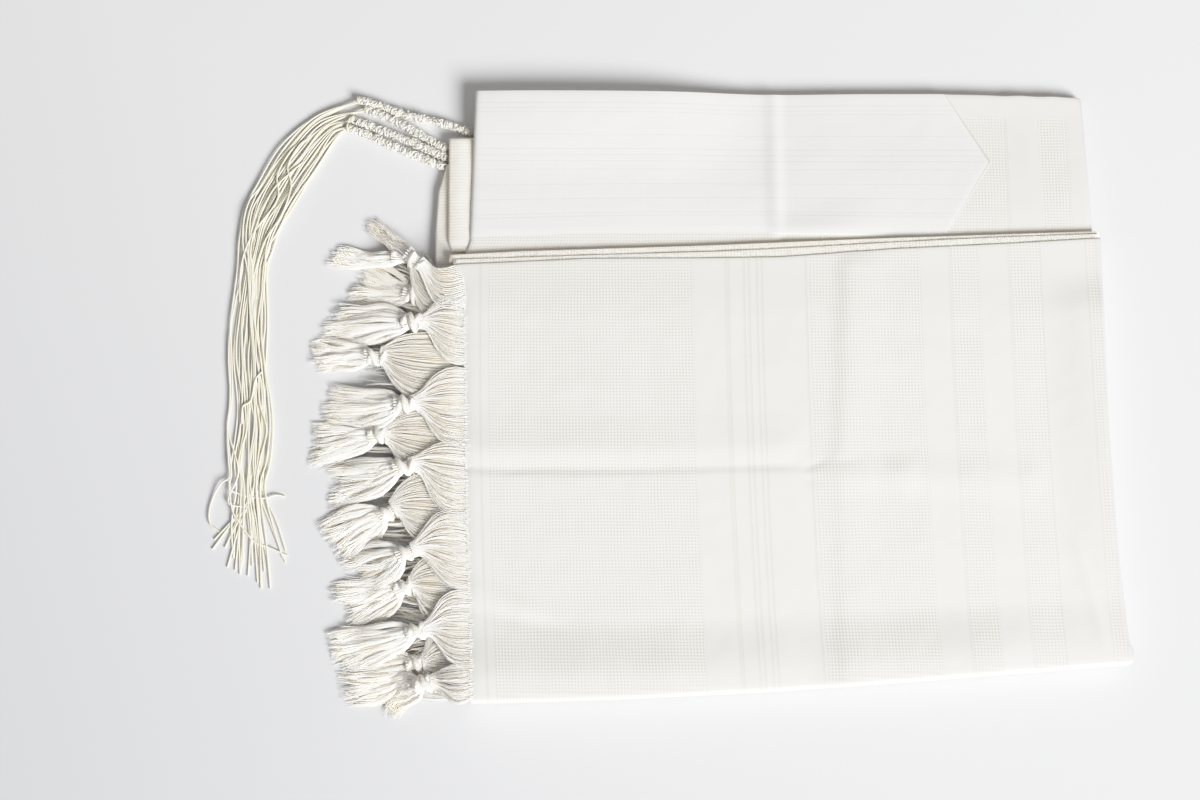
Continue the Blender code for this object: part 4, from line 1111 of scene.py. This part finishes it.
# The core's waist: so far along the knot, how wide it is there
KNOT_WAIST = ((-8, 1.5), (-4, 1.15), (0, 1), (4, 1.15), (8, 1.6))


def knot_threads(row, layer):
    """An overhand knot: a core, and three fat lobes of threads that wrap over it, each tucked in."""
    knot, along, side = knot_frame(row, layer)
    threads = []
    for k in range(KNOT_RING + KNOT_MIDDLE):
        ring = 3.0 if k < KNOT_RING else 1.2
        angle = math.tau * k / KNOT_RING
        points = [knot + along * a + side * (ring * b * math.cos(angle))
                  + UP * (ring * b * 0.8 * math.sin(angle)) for a, b in KNOT_WAIST]
        threads.append((points, 2.4))
    mirrored = chance.choice((-1.0, 1.0))
    fat = chance.uniform(1.05, 1.3)
    for middle, slope, radius, first in LOBES:
        turn = chance.uniform(-40.0, 40.0)
        lean = slope * chance.uniform(0.5, 1.4) * mirrored
        place = middle + chance.uniform(-0.8, 0.8)
        for k in range(LOBE_THREADS):
            offset = k - (LOBE_THREADS - 1) / 2.0
            bulge = fat * (1.0 - 0.011 * offset * offset)
            points = []
            for step in range(LOBE_STEPS + 1):
                t = step / LOBE_STEPS
                angle = math.radians(first + turn + WRAP * t)
                tuck = 1.0 - 0.55 * (2.0 * t - 1.0) ** 6
                r = radius * bulge * tuck
                a = place + 0.50 * offset * (0.5 + 0.5 * math.sin(math.pi * t)) + lean * (t - 0.5) * 2.0
                points.append(knot + along * a + side * (r * mirrored * math.cos(angle))
                              + UP * (0.8 * r * math.sin(angle)))
            threads.append((points, 0.95))
    return threads


print("knot of", len(knot_threads(FRINGE["upper"][1], "upper")), "threads")

# %% The tail
LOCKS = 12                      # four in each of a tail's three wisps
TAIL_STEPS = 9
THREADS_IN_LOCK = 21


def lock_line(knot, along, side, length, lock, spread, bow):
    """The middle line of one lock, which is one of four in each of a tail's three wisps."""
    phase = chance.uniform(0.0, math.tau)
    waves = chance.uniform(0.6, 1.4)
    sway = chance.uniform(0.5, 1.6)
    lift = chance.uniform(0.0, 1.0)
    lean = 2.0 * (lock + 0.5) / LOCKS - 1.0
    wisp = 0.66 * (lock // 4 - 1)
    within = 0.26 * (lock % 4 - 1.5) + chance.uniform(-0.08, 0.08)
    points = []
    for step in range(TAIL_STEPS + 1):
        t = step / TAIL_STEPS
        apart = wisp * t ** 0.7 + within * 1.5 * t ** 0.5 * (1.0 - 0.55 * t)
        aside = 3.4 * lean * (1.0 - t) + spread * apart
        aside += bow * math.sin(math.pi * t) * 0.6
        aside += sway * math.sin(phase + math.tau * waves * t) * soft(0.0, 0.35, t)
        point = knot + along * mix(3.5, length, t) + side * aside
        point.z = mix(knot.z - 1.2 * lean * lean, 0.6 + 1.6 * lift, soft(-0.1, 1.0, t))
        point.z += 0.8 * math.sin(phase * 1.7 + 7.0 * t) * soft(0.1, 0.4, t) * (1.0 - soft(0.8, 1.0, t))
        points.append(point)
    return points


def tail_threads(row, layer):
    """Wavy locks of threads that spread from the knot and come down to the table, with frayed ends."""
    knot, along, side = knot_frame(row, layer)
    length = (Vector((row[4], row[5], knot.z)) - knot).length
    spread = row[6]
    bow = chance.uniform(-4.0, 4.0)
    threads = []
    cuts = [chance.uniform(-3.0, 0.16 * length) for _ in range(3)]      # one for each wisp
    for lock in range(LOCKS):
        short = cuts[lock // 4] + 1.5 * (lock % 4 - 1.5) ** 2 + chance.uniform(-2.0, 2.0)
        middle = lock_line(knot, along, side, length - short, lock, spread, bow)
        wide = 1.3 * spread / LOCKS + 0.9
        for k in range(THREADS_IN_LOCK):
            angle = math.pi * (k + chance.random()) / THREADS_IN_LOCK
            fray = Vector((12.0 * chance.random() ** 2, chance.gauss(0.0, 1.7), 0.0))
            points = []
            for step, centre in enumerate(middle):
                t = step / TAIL_STEPS
                width = mix(1.0, wide, t ** 0.45)
                high = mix(2.6, 1.0, t) * (0.75 + 0.25 * math.sin(5.0 * t + lock))
                point = centre + side * (width * math.cos(angle)) + UP * (high * math.sin(angle) - 0.3)
                aside = fray.y * t ** 3 + chance.uniform(-0.12, 0.12)
                point += side * aside + along * (-fray.x * t ** 2)
                point.z = max(0.35, point.z + chance.uniform(-0.12, 0.12))
                points.append(point)
            threads.append((points, [1.0] * (TAIL_STEPS - 1) + [0.8, 0.4]))
        for offset in (-0.5, 0.0, 0.5):
            core = [centre + side * (offset * mix(1.0, wide, (step / TAIL_STEPS) ** 0.45)) + UP * 0.2
                    for step, centre in enumerate(middle[:-1])]
            fat = min(4.0, 1.2 + 0.22 * spread)
            thin = [fat * share for share in (0.9, 0.8, 0.7, 0.6, 0.45, 0.2)]
            threads.append((core, [fat] * 3 + thin))
    return threads


print("tail of", len(tail_threads(FRINGE["upper"][1], "upper")), "threads")

# %% Make the fourteen bunches
for layer, rows in FRINGE.items():
    for number, row in enumerate(rows, start=1):
        node = f"fringe_{layer}_{number}"
        threads = fan_threads(row, layer) + knot_threads(row, layer) + tail_threads(row, layer)
        if layer == "lower":
            threads += under_threads(row)
        dress(spin_threads(node + "_threads", threads, THREAD), thread_finish, "fringe_wool", node)

# %% [markdown]
# ## The corner cords
# At each corner, one longer string of the tassel is wound round the others, with double knots between
# the windings. So a cord is a straight core, a helix round it, and a few loops at each knot. The
# string isn't pulled tight everywhere, which gives the cord its ragged edge.

# %% Routes of the cords
CORD_Z = 3.4
STRING = 0.62                   # radius of a string
CORD_ROUTES = (
    ((-215.4, 190.6), (-240, 199), (-254, 202.6), (-270, 206.4), (-286, 212.2), (-299, 216.2)),
    ((-238.1, 180), (-250.3, 186.7), (-262, 194), (-280, 203.6), (-295, 209.4)),
    ((-237.9, 173.8), (-257, 182.7), (-272, 189.4), (-287, 195.2), (-303.5, 201.6)),
    ((-240.8, 167.4), (-254, 173.2), (-269, 179.6), (-284, 186), (-295, 191), (-306, 195.3)))
KNOT_SHARES = (0.08, 0.29, 0.50, 0.71, 0.93)


class Route:
    """A smooth way through stops, which can be walked by a share of its length."""

    def __init__(self, stops):
        self.points = bent(stops, 24 * (len(stops) - 1))
        steps = [0.0] + [(b - a).length for a, b in zip(self.points, self.points[1:])]
        self.at = np.cumsum(steps)
        self.length = float(self.at[-1])

    def frame(self, share):
        """The place at a share, the way ahead there, and the way to its side."""
        place = Vector([float(np.interp(share * self.length, self.at, [p[axis] for p in self.points]))
                        for axis in range(3)])
        k = min(int(np.searchsorted(self.at, share * self.length)), len(self.points) - 1)
        ahead = (self.points[min(k + 1, len(self.points) - 1)] - self.points[max(k - 1, 0)]).normalized()
        return place, ahead, ahead.cross(UP).normalized()


routes = [Route(raised(plan, CORD_Z)) for plan in CORD_ROUTES]
print("cords in mm:", [round(route.length) for route in routes])

# %% Wind a cord
PITCH = 1.55                    # of the winding
STEPS_PER_TURN = 9
CORE_STRINGS, CORE_RING = 7, 1.15       # straight strings, and how far they lie from the middle
WINDING_RING = 1.95
KNOT_LOOPS = 4                  # loose turns at each double knot
CURLS = 2.4                     # curls for each mm of a cord
CURL = 0.34                     # radius of their slack string


def around(route, share, radius, angle, along=0.0):
    """A place beside the route: so far from its middle, at an angle, and so far ahead."""
    place, ahead, side = route.frame(min(max(share, 0.0), 1.0))
    return place + side * (radius * math.cos(angle)) + UP * (radius * math.sin(angle)) + ahead * along


def cord_threads(route):
    """The core strings, the winding over them, and loose turns at each double knot."""
    threads = []
    for k in range(CORE_STRINGS):
        angle = math.tau * k / CORE_STRINGS
        points = [around(route, t, CORE_RING, angle + 3.0 * t) for t in even(0.0, 1.0, 26)]
        threads.append((points, 1.0))
    turns = route.length / PITCH
    count = round(turns * STEPS_PER_TURN)
    points = []
    for step in range(count + 1):
        t = step / count
        loose = 0.9 * noise.noise((t * 45.0, route.length, 0.0))
        loose += 0.5 * noise.noise((t * 190.0, 0.0, 4.0))
        points.append(around(route, t, WINDING_RING + max(-0.25, loose), math.tau * turns * t))
    threads.append((points, 0.7))
    for middle in KNOT_SHARES:
        for _ in range(KNOT_LOOPS):
            centre = middle + chance.uniform(-3.0, 3.0) / route.length
            wide = chance.uniform(2.2, 2.9)
            tilt = chance.uniform(-2.4, 2.4)
            first = chance.uniform(0.0, math.tau)
            points = [around(route, centre, wide * (1.0 + 0.15 * math.sin(2.0 * angle + first)),
                             angle + first, tilt * math.cos(angle)) for angle in even(0.0, math.tau, 14)]
            threads.append((points, 0.7))
    return threads


def curl_threads(route):
    """Small curls where the winding has worked loose, all over the cord and out from its sides."""
    threads = []
    for _ in range(round(CURLS * route.length)):
        centre = chance.random()
        first = chance.uniform(-0.3, math.pi + 0.3)
        size = chance.uniform(0.8, 1.8)
        high = chance.uniform(2.0, 3.0)
        tilt = chance.uniform(0.0, math.tau)
        stretch = chance.uniform(0.25, 0.55)
        points = [around(route, centre, high + 0.55 * math.sin(turn + tilt),
                         first + stretch * size * math.cos(turn), size * math.sin(turn))
                  for turn in even(0.0, math.tau, 8)]
        threads.append((points, 1.0))
    return threads


for number, route in enumerate(routes, start=1):
    for cord in (spin_threads(f"corner_cord_{number}_wound", cord_threads(route), STRING, rounds=1),
                 spin_threads(f"corner_cord_{number}_curls", curl_threads(route), CURL)):
        dress(cord, cord_finish, "string_wool", f"corner_cord_{number}")

# %% [markdown]
# ## The loose strings
# Eight string ends come out of each cord's last knot, thirty-two in all, and they lie as one long hank.
# Lanes across the hank say where each string is at every station. Near the second bend, the outer
# strings cross over the rest, as they do when the four tassels have been laid together by hand.

# %% The hank
# Stations along it: inner and outer edge
HANK = ((-316.8, 189.3, -333.6, 206.4), (-332, 165.7, -356.7, 184.1), (-345.6, 141.5, -373.6, 157.4),
        (-356.5, 120.3, -381.9, 138.4), (-362.6, 105, -385.4, 115.9), (-365.6, 89.1, -386.2, 92.7),
        (-363.2, 54.6, -389.3, 55.3), (-361.7, 28.1, -389.9, 29.5), (-359.6, -0.3, -388.9, -1.7),
        (-356.9, -21.5, -389.7, -21.5), (-359.1, -43.9, -390.5, -42.5), (-362, -62.1, -387.1, -62.1))
STRINGS_EACH = 8                # string ends from each cord
LANES = STRINGS_EACH * len(routes)
CROSSING = (30, 28, 26, 25, 23)         # lanes of the strings that cross over,
CROSS_FROM, CROSS_TO = 3, 6             # between these stations
# Where the strings end
TIPS = ((-345.9, -109), (-348.2, -112.7), (-357.6, -133.3), (-358.6, -116), (-363, -132.6),
        (-362.4, -121.6), (-366.4, -127.8), (-366, -112), (-370.9, -116.1), (-373.4, -123.7),
        (-370, -105), (-375.9, -112), (-378.9, -124.8), (-376.5, -119), (-381.1, -120.9), (-379, -108),
        (-383.5, -112), (-386.8, -116.1), (-384, -100), (-389.2, -104.4), (-392.9, -98.9), (-396, -101),
        (-398.4, -104.1), (-397, -87.1))
# Strings that leave the hank near its end, by lane: the stops that they go through instead
STRAYS = {
    31: ((-387.7, -42.5), (-386.6, -54.4), (-392.9, -59.3), (-398.7, -69.5), (-400.7, -79.5),
         (-399, -87.1), (-393.1, -92.3)),
    29: ((-385.4, -49.5), (-386.5, -59.3), (-384.9, -64.2), (-380.7, -65.9), (-374.4, -68),
         (-362.5, -69.1), (-354.3, -67), (-348.7, -68)),
    27: ((-381, -50), (-386.5, -68), (-385.3, -73.6), (-377, -74.6), (-370.8, -71.2)),
    24: ((-387.2, -56.5), (-384.5, -76.7), (-378.7, -86.4), (-368.6, -98.9), (-358.8, -103),
         (-345.9, -109))}
# Slack strings that cross the hank on top of it, below the cords
SLACK = (((-336, 190), (-344, 183.5), (-352.2, 168), (-349.4, 153), (-355.4, 132), (-367, 112),
          (-375, 84)),
         ((-345, 186), (-352, 177), (-359.3, 161), (-358.6, 143), (-375.7, 117.6), (-383, 95),
          (-384, 70)),
         ((-340, 173), (-350, 163), (-362, 150), (-372, 128), (-377, 104), (-372, 72)))
SHORT = ((-366, 20), (-370.5, 13.9), (-372.9, -0.3), (-378.4, -4.5), (-379.6, -10.2), (-379.8, -17.2))


def hank_place(station, share):
    inner_x, inner_y, outer_x, outer_y = HANK[station]
    return Vector((mix(inner_x, outer_x, share), mix(inner_y, outer_y, share), 0.0))


print(len(HANK), "stations,", len(TIPS), "ends")

# %% Lay the strings
def string_route(lane):
    """Stops of one string, from its knot to its end; lane 0 is innermost, at the lowest cord."""
    cord = len(routes) - 1 - lane // STRINGS_EACH
    head, ahead, side = routes[cord].frame(1.0)
    inside = (lane % STRINGS_EACH) / (STRINGS_EACH - 1) - 0.5
    over = lane % 2
    stops = [head + ahead * 2.4 + side * (-3.2 * inside) + UP * (0.8 * over - 0.6)]
    share = (lane + 0.5) / LANES
    crosses = lane in CROSSING
    for station in range(len(HANK)):
        share += chance.gauss(0.0, 0.085 if station < CROSS_FROM else 0.11)
        home = (lane + 0.5) / LANES
        if crosses:
            home = mix(home, 1.07 - home, soft(CROSS_FROM - 0.5, CROSS_TO, station))
        elif station >= CROSS_TO:
            home = min(1.0, home + 0.08)
        share = mix(share, home, 0.55)
        place = hank_place(station, min(max(share, 0.0), 1.0))
        place.z = 0.75 + 1.15 * over + chance.uniform(0.0, 0.5)
        if crosses and CROSS_FROM - 1 < station <= CROSS_TO + 1:
            place.z = 3.1 + 0.4 * chance.random()
        stops.append(place)
    if lane in STRAYS:
        stops = stops[:-2] + raised(STRAYS[lane], 2.9, 1.6, 3)
        stops[-1].z = 0.7
    else:
        x, y = TIPS[round(lane / (LANES - 1) * (len(TIPS) - 1))]
        last = stops[-1]
        stops.append(last.lerp(Vector((x, y, 1.2)), 0.5) + Vector((chance.uniform(-2.0, 2.0), 0.0, 0.0)))
        stops.append(Vector((x + chance.uniform(-1.2, 1.2), y + chance.uniform(-1.0, 4.0), 0.7)))
    return stops


def settle(points):
    """Small slow bends in a laid string; it stays above the table."""
    phase = chance.uniform(0.0, math.tau)
    for k, point in enumerate(points):
        point.x += 0.35 * math.sin(k / 7.0 + phase)
        point.z = max(point.z, STRING + 0.05)
    return points


END_LOOPS = 7                   # turns round the strings where they leave a cord
for number in range(1, len(routes) + 1):
    threads = []
    end_lane = LANES - STRINGS_EACH * (number - 1)
    for lane in range(end_lane - STRINGS_EACH, end_lane):
        stops = string_route(lane)
        points = settle(bent(stops, 9 * (len(stops) - 1)))
        threads.append((points, 1.0))
    head = routes[number - 1]
    for _ in range(END_LOOPS):
        wide = chance.uniform(1.7, 2.5)
        first = chance.uniform(0.0, math.tau)
        tilt = chance.uniform(-1.6, 1.6)
        reach = chance.uniform(0.4, 3.6)
        points = [around(head, 1.0, wide, angle + first, reach + tilt * math.cos(angle))
                  for angle in even(0.0, math.tau, 14)]
        threads.append((points, 0.95))
    if number == 1:
        for way in SLACK:
            slack = raised(way, 3.7)
            slack[0].z = slack[-1].z = 1.8
            threads.append((settle(bent(slack, 48)), 1.0))
    if number == 2:
        threads.append((settle(bent(raised(SHORT, 3.4, 2.6, 5), 40)), 1.0))
    strings = spin_threads(f"corner_strings_{number}_wool", threads, STRING, rounds=1)
    dress(strings, string_finish, "string_wool", f"corner_strings_{number}")
